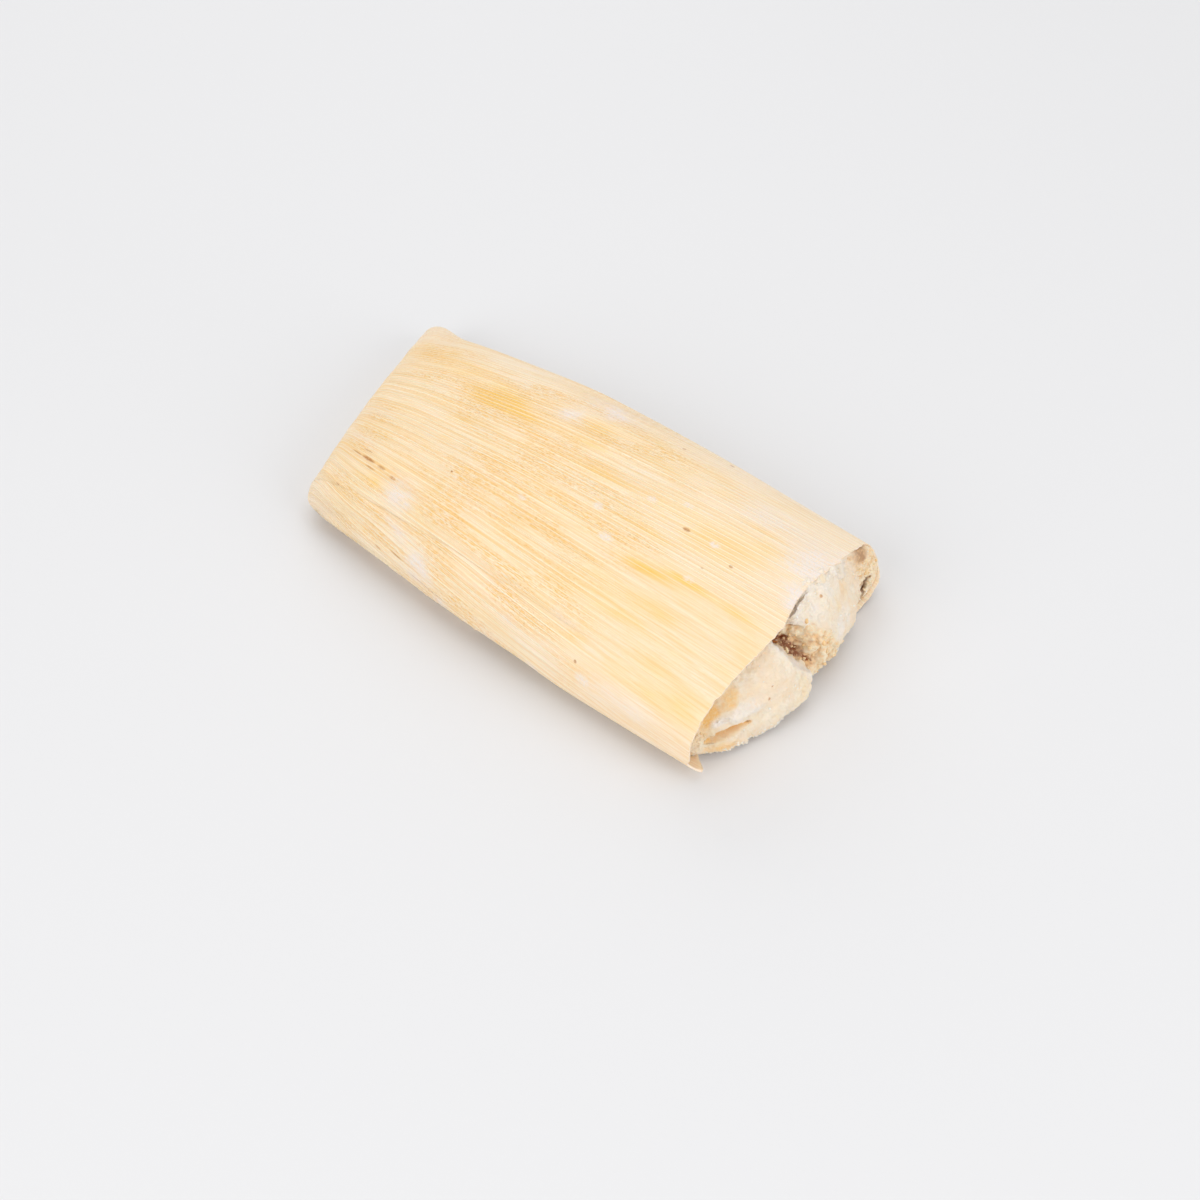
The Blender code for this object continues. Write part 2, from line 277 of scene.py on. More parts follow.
def even_turns(columns):
    """Turns over the upper half, evenly spaced along the section's arc."""
    fine = np.linspace(0, 0.5, 4001)
    line = wrap(TYPICAL_SHARE * WRAP_LENGTH, fine)
    arc = np.append(0, np.cumsum(np.linalg.norm(np.diff(line, axis=0), axis=1)))
    half = np.interp(np.linspace(0, arc[-1] / 2, columns // 2 + 1), arc, fine)
    return np.concatenate([half, 0.5 - half[-2::-1]])


def ring_turns(columns):
    """Turns right round from the middle of the base; columns below mirror those above."""
    upper = even_turns(columns)
    middle = columns // 2
    front_base = -upper[middle:0:-1]
    back_base = 1 - upper[-2:middle - 1:-1]
    return np.concatenate([front_base, upper, back_base])


def normals(grid):
    """Outward unit normals of a grid of points, rows along the wrap."""
    along = np.gradient(grid, axis=0)
    across = np.gradient(grid, axis=1)
    normal = np.cross(along, across)
    return normal / np.maximum(np.linalg.norm(normal, axis=-1, keepdims=True), 1e-12)


def row_offset():
    """Shift from this file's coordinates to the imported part's, in mm."""
    turns = np.linspace(0, 1, 721)
    points = wrap(np.linspace(0, WRAP_LENGTH, 123)[:, None], turns[None, :])
    low = points.min(axis=(0, 1))
    high = points.max(axis=(0, 1))
    box_low, box_high = (np.array(corner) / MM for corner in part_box("husk"))
    middle_y = (box_low[1] + box_high[1]) / 2 - (low[1] + high[1]) / 2
    return np.array([box_low[0] - low[0], middle_y, 0])


OFFSET = row_offset()


# ---- meshes
def grid_quads(rows, columns, first=0):
    """Quads between neighbouring points of a grid."""
    corner = first + np.arange(rows - 1)[:, None] * columns + np.arange(columns - 1)[None, :]
    quads = np.stack([corner, corner + columns, corner + columns + 1, corner + 1], axis=-1)
    return quads.reshape(-1, 4)


WELD_STEPS = 2000          # points this many to the mm, or closer, are one


def weld(points):
    """Index of the first point at the same place, for each point."""
    key = np.round(points * WELD_STEPS).astype(np.int64)
    _, first, inverse = np.unique(key, axis=0, return_index=True, return_inverse=True)
    return first, inverse.reshape(-1)


def place_mesh(name, points, polygons, material):
    """A smooth object of points in mm."""
    mesh = bpy.data.meshes.new(name)
    mesh.from_pydata(((points + OFFSET) * MM).tolist(), [], polygons)
    mesh.polygons.foreach_set("use_smooth", np.ones(len(mesh.polygons), bool))
    mesh.materials.append(material)
    mesh.update()
    made = bpy.data.objects.new(name, mesh)
    bpy.context.scene.collection.objects.link(made)
    return made


def build(name, points, faces, values, uv, material):
    """Make one welded, smooth object; values and uv are kept per face corner."""
    first, place = weld(points)
    corners = []
    polygons = []
    for face in faces.tolist():
        kept = []
        used = []
        for vertex in face:
            index = int(place[vertex])
            if index not in used:
                used.append(index)
                kept.append(vertex)
        if len(used) > 2:
            polygons.append(used)
            corners.extend(kept)
    made = place_mesh(name, points[first], polygons, material)
    corners = np.array(corners)
    for key, value in values.items():
        kind, field = ("FLOAT_VECTOR", "vector") if value.ndim == 2 else ("FLOAT", "value")
        layer = made.data.attributes.new(key, kind, "CORNER")
        layer.data.foreach_set(field, value[corners].astype(np.float32).ravel())
    layer = made.data.uv_layers.new(name="OFBake")
    layer.data.foreach_set("uv", uv[corners].astype(np.float32).ravel())
    made.data.validate()
    return made


class Sheets:
    """Collects grids of points that become one object."""

    def __init__(self):
        self.points = []
        self.faces = []
        self.values = {}
        self.uv = []
        self.count = 0

    def add(self, grid, values, uv_box, flip=False):
        """Add a grid, with its values and its own box of the UV square."""
        rows, columns = grid.shape[:2]
        quads = grid_quads(rows, columns, self.count)
        self.faces.append(quads[:, ::-1] if flip else quads)
        self.points.append(grid.reshape(-1, 3))
        for key, value in values.items():
            wide = value.shape[2:] if value.ndim == 3 else ()
            flat = np.broadcast_to(value, (rows, columns) + wide).reshape(-1, *wide)
            self.values.setdefault(key, []).append(flat)
        left, low, right, high = uv_box
        across, up = np.meshgrid(np.linspace(left, right, columns), np.linspace(low, high, rows))
        self.uv.append(np.stack([across, up], axis=-1).reshape(-1, 2))
        self.count += rows * columns

    def build(self, name, material):
        """Make the object."""
        values = {key: np.concatenate(parts) for key, parts in self.values.items()}
        return build(name, np.concatenate(self.points), np.concatenate(self.faces), values,
                     np.concatenate(self.uv), material)


# ---- shader nodes
class Look:
    """A Principled material whose colour is laid on coat by coat."""

    def __init__(self, name, roughness, specular):
        self.material = bpy.data.materials.new(name)
        self.material.use_nodes = True
        self.tree = self.material.node_tree
        self.shader = self.tree.nodes["Principled BSDF"]
        self.shader.inputs["Roughness"].default_value = roughness
        self.shader.inputs["Specular IOR Level"].default_value = specular
        self.colour = None

    def plug(self, socket, value):
        """Link a socket, or set its value."""
        if isinstance(value, bpy.types.NodeSocket):
            self.tree.links.new(value, socket)
        else:
            socket.default_value = value

    def node(self, kind, inputs, **settings):
        """A new node, set up and plugged in."""
        made = self.tree.nodes.new("ShaderNode" + kind)
        for key, value in settings.items():
            setattr(made, key, value)
        for key, value in inputs.items():
            self.plug(made.inputs[key], value)
        return made

    def value(self, name, output="Fac"):
        """Output of a mesh attribute."""
        return self.node("Attribute", {}, attribute_name=name).outputs[output]

    def vector(self, operation, first, second, output=0):
        """One step of vector arithmetic."""
        return self.node("VectorMath", {0: first, 1: second}, operation=operation).outputs[output]

    def calc(self, operation, first, second=0, clamp=False):
        """One step of arithmetic."""
        return self.node("Math", {0: first, 1: second}, operation=operation,
                         use_clamp=clamp).outputs[0]

    def times(self, first, second):
        """A product."""
        return self.calc("MULTIPLY", first, second)

    def speckle(self, vector, scale, detail, roughness):
        """Noise from 0 to 1."""
        return self.node("TexNoise", {"Vector": vector, "Scale": scale, "Detail": detail,
                                      "Roughness": roughness}).outputs["Fac"]

    def between(self, value, low, high, to_low=0, to_high=1):
        """Map low..high smoothly to the two results."""
        return self.node("MapRange", {"Value": value, "From Min": low, "From Max": high,
                                      "To Min": to_low, "To Max": to_high},
                         interpolation_type="SMOOTHSTEP").outputs["Result"]

    def blend(self, factor, first, second):
        """Mix two colours."""
        return self.node("Mix", {0: factor, 6: first, 7: second}, data_type="RGBA").outputs[2]

    def coat(self, factor, colour):
        """Lay a colour over the others."""
        self.colour = self.blend(factor, self.colour, colour)

    def finish(self, height, depth, scatter, radius, reach):
        """Plug in the colour, a bump as deep as given in metres, and the light that sinks in."""
        bump = self.node("Bump", {"Distance": depth, "Height": height})
        for key, value in (("Base Color", self.colour), ("Normal", bump.outputs["Normal"]),
                           ("Subsurface Weight", scatter), ("Subsurface Radius", radius),
                           ("Subsurface Scale", reach)):
            self.plug(self.shader.inputs[key], value)
        return self.material


def srgb(red, green, blue):
    """Linear colour from 8-bit display values."""
    shown = np.array([red, green, blue]) / 255
    linear = np.where(shown > 0.04045, ((shown + 0.055) / 1.055) ** 2.4, shown / 12.92)
    return (*(float(v) for v in linear), 1)


# ---- husk
HUSK_STRAW = srgb(249, 221, 178)
HUSK_PEACH = srgb(250, 226, 195)
HUSK_WARM = srgb(248, 212, 158)
# pale haze on the husk, and painted light on the folded tail and its edges
HUSK_HAZE_AND_LIGHT = srgb(248, 230, 210)
HUSK_DASH = srgb(243, 193, 112)
HUSK_TROUGH = srgb(240, 197, 130)
HUSK_TICK = srgb(208, 150, 80)
HUSK_VEIN = srgb(255, 245, 216)
HUSK_STAIN = srgb(251, 198, 76)
HUSK_BROWN = srgb(182, 118, 56)
HUSK_FROST = srgb(240, 228, 221)
TIP_TURN = 0.945            # the husk's pointed lower corner
TIP_LENGTH = 0.9
LIP_TURN = 0.875            # here the husk's lower edge lies back behind the dough
LIP_CUT = 2.8
# noises of the husk's colour: scale across the fibres and along them, detail, roughness;
# wisp, broken, band, cloud, tick and stripe
HUSK_GRAINS = (
    (2.6, 0.07, 3, 0.6), (2.9, 0.50, 2, 0.6), (0.55, 0.030, 2, 0.5),
    (0.16, 0.07, 3, 0.55), (3.4, 1.5, 2, 0.6), (1.25, 0.022, 2, 0.55),
)
# marks on the husk: distance from the fold, arc from the middle of the top,
# half length along the fibres, half width across them, strength
STAINS = (
    (25.3, 16.1, 4, 4, 0.55), (31.7, 12.7, 5, 4.2, 0.65), (37.1, 10.6, 6, 5, 1.30),
    (32.9, -0.2, 2.5, 1.2, 0.45), (59.5, 16.4, 4.5, 3, 0.50), (63.2, 11.1, 4, 3, 0.45),
    (45.8, 8.7, 4, 2.5, 0.40), (32.2, -7.4, 1.6, 1, 0.35), (45.1, 4.9, 2, 1.2, 0.40),
    (70.7, 4.6, 6, 1.5, 0.50), (21.7, -26.1, 3, 2.6, 0.45), (103.7, -9.2, 8, 0.9, 0.65),
    (113.7, -9.7, 5, 1.3, 0.40), (92, -11.4, 6, 1.8, 0.55), (90.8, -23.4, 7, 1.4, 0.45),
    (85.1, -33, 4, 3, 0.30), (102.2, -18.8, 4, 1.5, 0.30), (117.6, -22.3, 4, 1.5, 0.35),
    (100.5, -34, 7, 4.5, 0.24), (111, -34.9, 6, 4.5, 0.26), (117.4, -36.3, 4, 3.5, 0.22),
    (113, 10.6, 4, 2, 0.30), (96.9, 18.5, 7, 2, 0.30), (85.9, -2.7, 4, 1.5, 0.30),
    (14, 20, 6, 5, 0.30), (97, 2.5, 14, 7, 0.30), (88, -17, 13, 7, 0.24),
    (107, -24, 9, 6, 0.14),
)
FROSTS = (
    (30.2, -26.3, 3.6, 4, 1.00), (30.3, -34.7, 2.4, 3, 0.70), (38.8, -39.6, 3.6, 3.8, 0.90),
    (46.8, -45.4, 2.2, 2, 0.60), (53.7, 16, 3, 3, 0.80), (60, 25.7, 7, 4.5, 0.70),
    (62.4, -46.3, 3, 2, 0.60), (69, -38.2, 2.5, 1.6, 0.40), (82.2, -30.8, 3, 2, 0.50),
    (105, 18.7, 8, 4, 0.45), (102, -40, 8, 2.5, 0.40), (121.5, 1.5, 1.6, 3, 0.80),
    (121, 12, 2.6, 10, 1.00), (116.5, 13.5, 4, 8, 0.55),
)
FLECKS = (
    (58.3, -12.5, 1.3, 0.9, 0.60), (73.9, -4.1, 1.3, 1.2, 0.90), (79.6, -10, 1.8, 1.2, 0.90),
    (76.1, -45.7, 2, 1.3, 0.80), (83.2, 5.3, 1.3, 1.1, 0.65), (90.5, 8.9, 1.2, 1, 0.60),
    (91.5, -40.3, 2.2, 1.5, 0.80), (100, -8.4, 1.3, 0.9, 0.60), (101, 3.2, 1.3, 1, 0.90),
)
DASHES = (
    (27.3, -40.2, 3, 2, 0.5), (42.2, -26.3, 5, 3, 0.8), (44.1, -36.2, 4, 2, 0.6),
    (49.5, -20.4, 4, 2, 0.6), (51, -27, 5, 2.5, 0.7), (58.5, -37.3, 5, 2, 0.6),
    (61.2, -42.7, 5, 1.6, 0.5), (66, -22, 6, 2, 0.8), (67.6, -6.5, 6, 1.6, 0.8),
    (72.5, -0.5, 5, 1.5, 0.7), (81.2, -9.1, 6, 1.6, 0.9), (86.4, -6.3, 6, 1.5, 1),
)
STREAKS = (
    (10.7, -31, 0.7, 0.40, 0.6), (12, -21, 2, 0.36, 0.6), (16.4, -21.7, 2.4, 0.65, 0.9),
    (15, -19.6, 1.6, 0.28, 0.6), (18.2, -23.6, 1.8, 0.30, 0.6), (21.4, -22.4, 1.4, 0.55, 0.6),
    (26, -23.6, 1.1, 0.60, 0.5), (24.4, -40.9, 1.2, 0.50, 0.4), (31.2, -40, 2.2, 0.35, 0.6),
    (41, -42.8, 5.5, 0.16, 0.7), (45, -43.3, 3.5, 0.16, 0.7), (39.7, -15.4, 0.34, 0.30, 1),
    (93.9, 2.8, 0.95, 0.55, 0.8), (106.4, 0.4, 0.50, 0.38, 0.7), (88.6, -37.5, 0.45, 0.42, 0.7),
    (78.8, 26.1, 0.50, 0.42, 0.6), (89, 32.1, 0.60, 0.42, 0.6), (101, -4.1, 0.35, 0.30, 0.4),
)


def section_arc(turn):
    """Distance round the section from the middle of the top, in mm."""
    middle = wrap(TYPICAL_SHARE * WRAP_LENGTH, turn)
    arc = np.append(0, np.cumsum(np.linalg.norm(np.diff(middle, axis=0), axis=1)))
    return arc - arc[-1] / 2


def fibre_paths():
    """Shift and spread of the fibres at each distance, traced back from the open edge."""
    at = np.linspace(0, WRAP_LENGTH, 489)
    spread, straight = np.moveaxis(curve(FIBRE_FAN, at), -1, 0)
    step = at[1] - at[0]
    close = np.ones_like(at)
    shift = np.zeros_like(at)
    for k in range(len(at) - 2, -1, -1):
        close[k] = close[k + 1] * (1 - spread[k] * step)
        shift[k] = shift[k + 1] - spread[k] * (shift[k + 1] - straight[k]) * step
    return at, shift, close


FIBRE_PATHS = fibre_paths()


def fibre_coordinate(arc, distance):
    """Place across the fibres in mm, as they lie at the open edge."""
    at, shift, close = FIBRE_PATHS
    return (arc - np.interp(distance, at, shift)) / np.interp(distance, at, close)


def lanes(q, distance):
    """Numbers that are whole along each vein and along each fine line."""
    bend = 0.50 * noise(fields(q / 3.4, distance / 70), 21)
    bend = bend + 0.22 * noise(fields(q / 1.5, distance / 45), 22)
    thin = 0.20 * noise(fields(q / 1.3, distance / 50), 23)
    return (q + bend) / VEIN_SPACING, (q + thin) / HAIR_SPACING


def lane_strength(lane, distance, seed):
    """How strong the vein or line nearest to each point is, 0.3 to 1."""
    number = np.floor(lane + 0.5)
    strength = 0.58 + 0.42 * hashed(number[..., None], seed)
    return strength * (0.78 + 0.22 * noise(fields(number, distance / 22), seed + 1))


def ridge(lane, width):
    """A narrow bell on each whole number."""
    return hump(lane - np.floor(lane + 0.5), 0, width)


def husk_relief(q, distance):
    """Outward relief of the husk in mm, with the lanes and strengths it comes from."""
    lane, thin = lanes(q, distance)
    plain = 1 - 0.75 * ease(78, 100, distance) * ease(2, 16, -q)
    vein = lane_strength(lane, distance, 31) * plain
    hair = lane_strength(thin, distance, 41) * plain * (1 - 0.5 * ease(80, 100, distance))
    broad = 0.17 * rough(fields(q / 11, distance / 45), 71, 2)
    flute = 0.08 * noise(fields(q / 3.6, distance / 30), 81)
    relief = VEIN_HEIGHT * (vein * ridge(lane, 0.22) - 0.3) + broad + flute
    relief = relief + 0.35 * VEIN_HEIGHT * hair * (ridge(thin, 0.3) - 0.5)
    return relief, {"vein": vein, "hair": hair, "lane": fields(lane, thin, 0),
                    "fibre": fields(q, distance, 0)}


def marked(table, q, distance):
    """Sum of soft marks that run along the fibres."""
    total = np.zeros(np.broadcast(q, distance).shape)
    for along, arc, long, wide, strength in table:
        across = fibre_coordinate(arc, along)
        total = total + strength * hump(q, across, wide) * hump(distance, along, long)
    return total


def husk_marks(q, distance, arc):
    """Masks of the husk's stain, its frost, its pale haze and its dashes."""
    uneven = rough(fields(q / 3, distance / 9), 300, 3)
    stain = 1.25 * marked(STAINS, q, distance) * (1 + 1.2 * uneven)
    patchy = 1.15 + 1.4 * rough(fields(q / 1.8, distance / 2.6), 320, 3)
    frost = marked(FROSTS, q, distance) * patchy
    haze_and_painted_light = 0.22 + 0.80 * rough(fields(q / 7, distance / 13), 360, 3)
    haze_and_painted_light = haze_and_painted_light + 0.75 * ease(16, 32, arc) + 0.60 * ease(22, 42, -arc)
    haze_and_painted_light = haze_and_painted_light + 0.25 * ease(70, 100, distance)
    dash = 0.50 + 1.25 * rough(fields(q / 3.4, distance / 11), 340, 2)
    dash = dash * (1 - 0.9 * ease(72, 96, distance)) * ease(2, 12, distance)
    dash = dash * (1 - 0.6 * ease(18, 30, arc))
    dash = np.maximum(dash, marked(DASHES, q, distance))
    stripe = 1 - 0.70 * ease(74, 96, distance)
    masks = {"stain": stain, "frost": frost, "haze_and_painted_light": haze_and_painted_light, "dash": dash, "stripe": stripe}
    return {key: unit(value) for key, value in masks.items()}


def close_fold(grid):
    """Bring the base columns of the first row onto the upper ones."""
    half = (grid.shape[1] - 1) // 4
    grid[0, :half] = grid[0, 2 * half:half:-1]
    grid[0, 3 * half + 1:] = grid[0, 3 * half - 1:2 * half - 1:-1]


def husk_leaf(distance, turn, arc, start, inset):
    """One face of the wrap with its relief and a ragged open edge, and its values."""
    grid = wrap(distance, turn, start, inset)
    q = fibre_coordinate(arc, distance)
    relief, values = husk_relief(q, distance)
    seated = fall(0.6, 2.6, grid[..., 2] - inset) * ease(60, 75, distance)
    out = normals(grid)
    out[0] = (-1, FOLD_SKEW, 0)
    grid = grid + out * (relief * (1 - 0.8 * seated))[..., None]
    ragged = 0.20 * noise(fields(arc / 1.9), 90) + 0.10 * noise(fields(arc / 0.55), 91)
    ragged = ragged + TIP_LENGTH * (hump(turn % 1, TIP_TURN, 0.013)
                                    - hump(turn % 1, TIP_TURN + 0.03, 0.014))
    ragged = ragged - LIP_CUT * hump(turn % 1, LIP_TURN, 0.042)
    grid[..., 0] += ragged * ease(117, WRAP_LENGTH, distance)
    over_tail = 0.12 * fall(70, 84, distance)
    grid[..., 2] = np.maximum(grid[..., 2], CLEARANCE + inset + over_tail)
    close_fold(grid)
    values.update(husk_marks(q, distance, arc))
    return grid, values


def make_husk(material):
    """The wrap as one closed leaf, open at one end."""
    nose = FOLD_RADIUS * (1 - np.cos(np.linspace(0, np.pi / 2, 10)))
    body = np.concatenate([np.linspace(FOLD_RADIUS, 60, 34)[1:],
                           np.linspace(60, 118, 24)[1:]])
    rim = np.array([119, 120, 120.8, 121.3, 121.7, WRAP_LENGTH])
    outside = np.concatenate([nose, body, rim])[:, None]
    inside = np.array([7, 7.5, 8.6, 10.5, 16, 40, 77, 100, 113,
                       118, 120.8, WRAP_LENGTH])[:, None]
    turn = ring_turns(HUSK_COLUMNS)[None, :]
    arc = section_arc(turn[0])[None, :]
    sheets = Sheets()
    for distance, start, inset, box in ((outside, 0, 0, (0, 0, 1, 0.84)),
                                        (inside, CAVITY_START, HUSK_PLY, (0, 0.85, 1, 1))):
        grid, values = husk_leaf(distance, turn, arc, start, inset)
        sheets.add(grid, values, box, flip=inset > 0)
    edge = np.stack([sheets.points[0].reshape(len(outside), -1, 3)[-1],
                     sheets.points[1].reshape(len(inside), -1, 3)[-1]])
    sheets.add(edge, edge_values(edge), (0, 0.842, 1, 0.848))
    return sheets.build("husk_wrap", material)


def edge_values(strip):
    """Values for a cut edge of husk, painted pale: partly the cut's own colour, partly painted
    light on the tail's shaded edges.
    """
    values = {key: np.zeros(strip.shape[:2]) for key in ("stain", "dash", "vein", "hair", "stripe")}
    values["haze_and_painted_light"] = np.full(strip.shape[:2], 0.9)
    values["frost"] = np.full(strip.shape[:2], 0.35)
    return dict(values, fibre=strip, lane=strip)


def lines(look, lane, axis, inner, outer):
    """1 on each whole number of a lane, 0 beyond outer."""
    value = look.node("SeparateXYZ", {0: lane}).outputs[axis]
    aside = look.calc("ABSOLUTE", look.calc("SUBTRACT", value, look.calc("ROUND", value)))
    return look.between(aside, inner, outer, 1, 0)


def ovals(look, place, marks):
    """The strongest of a few small oval marks; each is centre, half sizes, strength."""
    total = None
    for centre, half, strength in marks:
        apart = look.vector("SUBTRACT", place, centre)
        apart = look.vector("MULTIPLY", apart, tuple(1 / v for v in half))
        size = look.vector("LENGTH", apart, (0, 0, 0), "Value")
        mark = look.between(size, 0.45, 1.35, strength, 0)
        total = mark if total is None else look.calc("MAXIMUM", total, mark)
    return total


def fibre_marks(look, fibre, table):
    """Small marks on the husk, from a table like STREAKS."""
    marks = [((float(fibre_coordinate(arc, along)), along, 0), (wide, long, 1), strength)
             for along, arc, long, wide, strength in table]
    return ovals(look, fibre, marks)


def husk_material():
    """Dried corn husk: pale veins, straw between them, dashes, stains, specks and frost."""
    look = Look("corn_husk_dry", 0.55, 0.32)
    fibre = look.value("fibre", "Vector")
    lane = look.value("lane", "Vector")
    vein = look.times(lines(look, lane, 0, 0.05, 0.15), look.value("vein"))
    hair = look.times(lines(look, lane, 1, 0.10, 0.40), look.value("hair"))
    wisp, broken, band, cloud, tick, stripe = (
        look.speckle(look.vector("MULTIPLY", fibre, (across, along, 1)), 1, detail, roughness)
        for across, along, detail, roughness in HUSK_GRAINS)
    powder = look.speckle(fibre, 1.6, 4, 0.7)
    look.colour = look.blend(look.between(cloud, 0.35, 0.65), HUSK_STRAW, HUSK_PEACH)
    look.coat(look.between(band, 0.45, 0.68, 0, 0.8), HUSK_WARM)
    # pale haze, and on the tail and its edges painted light against the shade they lie in
    look.coat(look.times(look.value("haze_and_painted_light"), 0.8), HUSK_HAZE_AND_LIGHT)
    stain = look.times(look.value("stain"), look.between(wisp, 0.3, 0.6, 0.7, 1))
    look.coat(look.times(stain, 0.95), HUSK_STAIN)
    clear = look.value("stripe")
    look.coat(look.times(look.between(stripe, 0.50, 0.62, 0, 0.42), clear), HUSK_TROUGH)
    look.coat(look.times(look.between(stripe, 0.38, 0.48, 0.36, 0), clear), HUSK_VEIN)
    trough = look.calc("SUBTRACT", 1, hair)
    dash = look.times(look.value("dash"), look.between(broken, 0.43, 0.56))
    look.coat(look.times(dash, look.calc("ADD", look.times(trough, 0.8), 0.2)), HUSK_DASH)
    look.coat(look.times(trough, look.between(wisp, 0.42, 0.62, 0.08, 0.52)), HUSK_TROUGH)
    spots = look.times(look.value("dash"), look.between(tick, 0.56, 0.66))
    look.coat(look.times(spots, 0.6), HUSK_TICK)
    look.coat(look.times(vein, look.between(wisp, 0.3, 0.6, 0.65, 1)), HUSK_VEIN)
    frost = look.times(look.value("frost"), look.between(powder, 0.34, 0.54, 0.35, 1))
    flecks = look.times(fibre_marks(look, fibre, FLECKS), look.between(powder, 0.3, 0.6))
    look.coat(look.times(look.calc("MAXIMUM", frost, flecks), 0.9), HUSK_FROST)
    dark = look.times(fibre_marks(look, fibre, STREAKS), look.between(tick, 0.3, 0.55, 0.55, 1))
    look.coat(dark, HUSK_BROWN)
    height = look.calc("ADD", vein, look.times(hair, 0.5))
    height = look.calc("ADD", height, look.times(broken, 0.5))
    return look.finish(height, 0.00007, 0.10, (1, 0.6, 0.3), 0.0010)


def ply(offset, thick, lengths, columns, seed):
    """One leaf of the folded-under tail, as outer and inner grids."""
    bend = np.radians(np.linspace(168, 270, 14))
    reach = np.linspace(0, 1, 48)[1:]
    across = -np.cos(np.linspace(0, np.pi, columns))
    across = 0.5 * across + 0.5 * np.linspace(-1, 1, columns)
    front, middle, back = lengths
    side = np.where(across < 0, front, back)
    length = side + (middle - side) * (1 - across ** 4)
    length = length + 1.3 * noise(fields(across * 9), seed)
    length = length + 0.5 * noise(fields(across * 41), seed + 1)
    centre = FOLD_RADIUS + 0.2
    sheets = []
    for depth in (offset, offset + thick):
        radius = FOLD_RADIUS - depth
        along = [np.full(columns, centre + radius * np.cos(angle)) for angle in bend]
        along = np.array(along + [centre + (length - centre) * step for step in reach])
        high = np.append(FOLD_RADIUS + radius * np.sin(bend), np.full(len(reach), depth))[:, None]
        low = curve(TAIL_FRONT, along)[..., 0]
        top = curve(TAIL_BACK, along)[..., 0]
        edge = 0.45 * noise(fields(along / 2.6, seed), seed + 2)
        edge = edge + 0.30 * noise(fields(along / 0.8, seed), seed + 3)
        low = low + edge + TAIL_TUCK
        top = top + edge[::-1]
        y = (low + top) / 2 + (top - low) / 2 * across
        share = along / WRAP_LENGTH
        x = fold_x(y) * (1 - share) + OPEN_X * share
        sheets.append((fields(x, y, high), along))
    return sheets


def make_tail(material):
    """The tail of the husk folded underneath, as two leaves."""
    sheets = Sheets()
    for number, (offset, thick, lengths, columns) in enumerate(TAIL_LEAVES):
        (outer, along), (inner, _) = ply(offset, thick, lengths, columns, 500 + 20 * number)
        q = fibre_coordinate(outer[..., 1], 0)
        relief, values = husk_relief(q, -along)
        flat = ease(4, 7, along)
        outer = outer + normals(outer) * (0.6 * (relief + 0.12) * (1 - flat))[..., None]
        outer[..., 2] = np.maximum(outer[..., 2] + flat * (0.05 + 0.05 * relief), CLEARANCE)
        # the haze value paints the tail paler, as painted light against the shade it lies in under
        # the wrap
        for key, level in (("stain", 0.0), ("frost", 0.0), ("stripe", 0.0), ("dash", 0.4),
                           ("haze_and_painted_light", 0.5)):
            values[key] = np.full(along.shape, level)
        top = 0.5 * number
        sheets.add(outer, values, (0, top, 0.45, top + 0.48), flip=True)
        sheets.add(inner, values, (0.5, top, 0.95, top + 0.48))
        box = (0.46, top, 0.49, top + 0.48)
        for pair in ((outer[:, 0], inner[:, 0]), (inner[:, -1], outer[:, -1]),
                     (inner[0], outer[0]), (outer[-1], inner[-1])):
            strip = np.stack(pair)
            sheets.add(strip, edge_values(strip), box)
    return sheets.build("husk_tail", material)


# ---- dough
MASA_CREAM = srgb(254, 230, 194)
MASA_PALE = srgb(255, 238, 213)
MASA_YELLOW = srgb(255, 198, 108)
MASA_TAN = srgb(252, 202, 138)
MASA_TAN_LIGHT = srgb(255, 237, 207)
# dark reddish brown: browned dough, and also painted shade in the pits, cracks and creases
MASA_BROWN_AND_SHADE = srgb(134, 66, 26)
MASA_WHITE = srgb(255, 243, 231)
MASA_SPECK = srgb(206, 150, 96)
# brown specks on the dough: centre, half sizes, strength
MASA_SPECKS = tuple(((x, y, z), (size, size, size), 0.8) for x, y, z, size in (
    (63.8, -14.2, 10.1, 0.40), (63.6, -13.2, 12.7, 0.32), (61.5, -16.5, 13.5, 0.30),
    (62.5, -10.5, 13, 0.28), (58.7, 8, 18.9, 0.40), (58.2, 12.5, 18.3, 0.28),
))
# how far the base of the face lies back: y, undercut
UNDERCUT = (
    (-35, 0), (-20, 0.3), (-12, 1.1), (-4, 2), (12, 2), (20, 1),
    (26, -0.2), (30, -0.8), (35, -1),
)
# swells and hollows of the face: y, z, half width, half height, how far out
FORMS = (
    (-26, 12.5, 3, 4, -1.4), (-9.5, 12, 4.5, 3.6, 0.3), (-4, 10.5, 4, 4, -0.7),
    (-15, 13.5, 3.4, 2.5, 0.6), (-14, 4.5, 4, 2.4, 0.6), (-7, 5, 2.6, 2.6, 0.2),
    (11, 15, 3.6, 3, 0.8), (14.5, 7, 3.2, 3.6, 0.2), (5, 12, 3, 2.6, 0.8),
    (1.5, 4, 2, 2.4, -1), (20, 12, 3, 5, 0.5),
)
# slot low in the near corner, and crack in the far roll: y, z, half width, depth
SLOT = (
    (-27.8, 5.4, 0.4, 0.8), (-26, 5.5, 0.8, 1.6), (-24, 5.7, 1, 2.2),
    (-21.8, 6.3, 0.9, 2), (-19.8, 6.4, 0.6, 1.1), (-18.5, 6.3, 0.3, 0.3),
)
CRACK = (
    (32, 7, 0.3, 0.5), (30.9, 6.2, 0.5, 1.8), (29.8, 5.2, 0.55, 2.2),
    (28.8, 3.2, 0.65, 2.2), (28, 1.2, 0.5, 1.4),
)
# white lip over the slot: y, z, half width, how far it stands out
LIP = (
    (-25.5, 8.6, 0.7, 0.2), (-23, 9.1, 1.1, 0.8), (-20, 9.6, 1.5, 1.1),
    (-16.5, 9.8, 1.3, 0.8), (-14, 10, 0.8, 0.1),
)


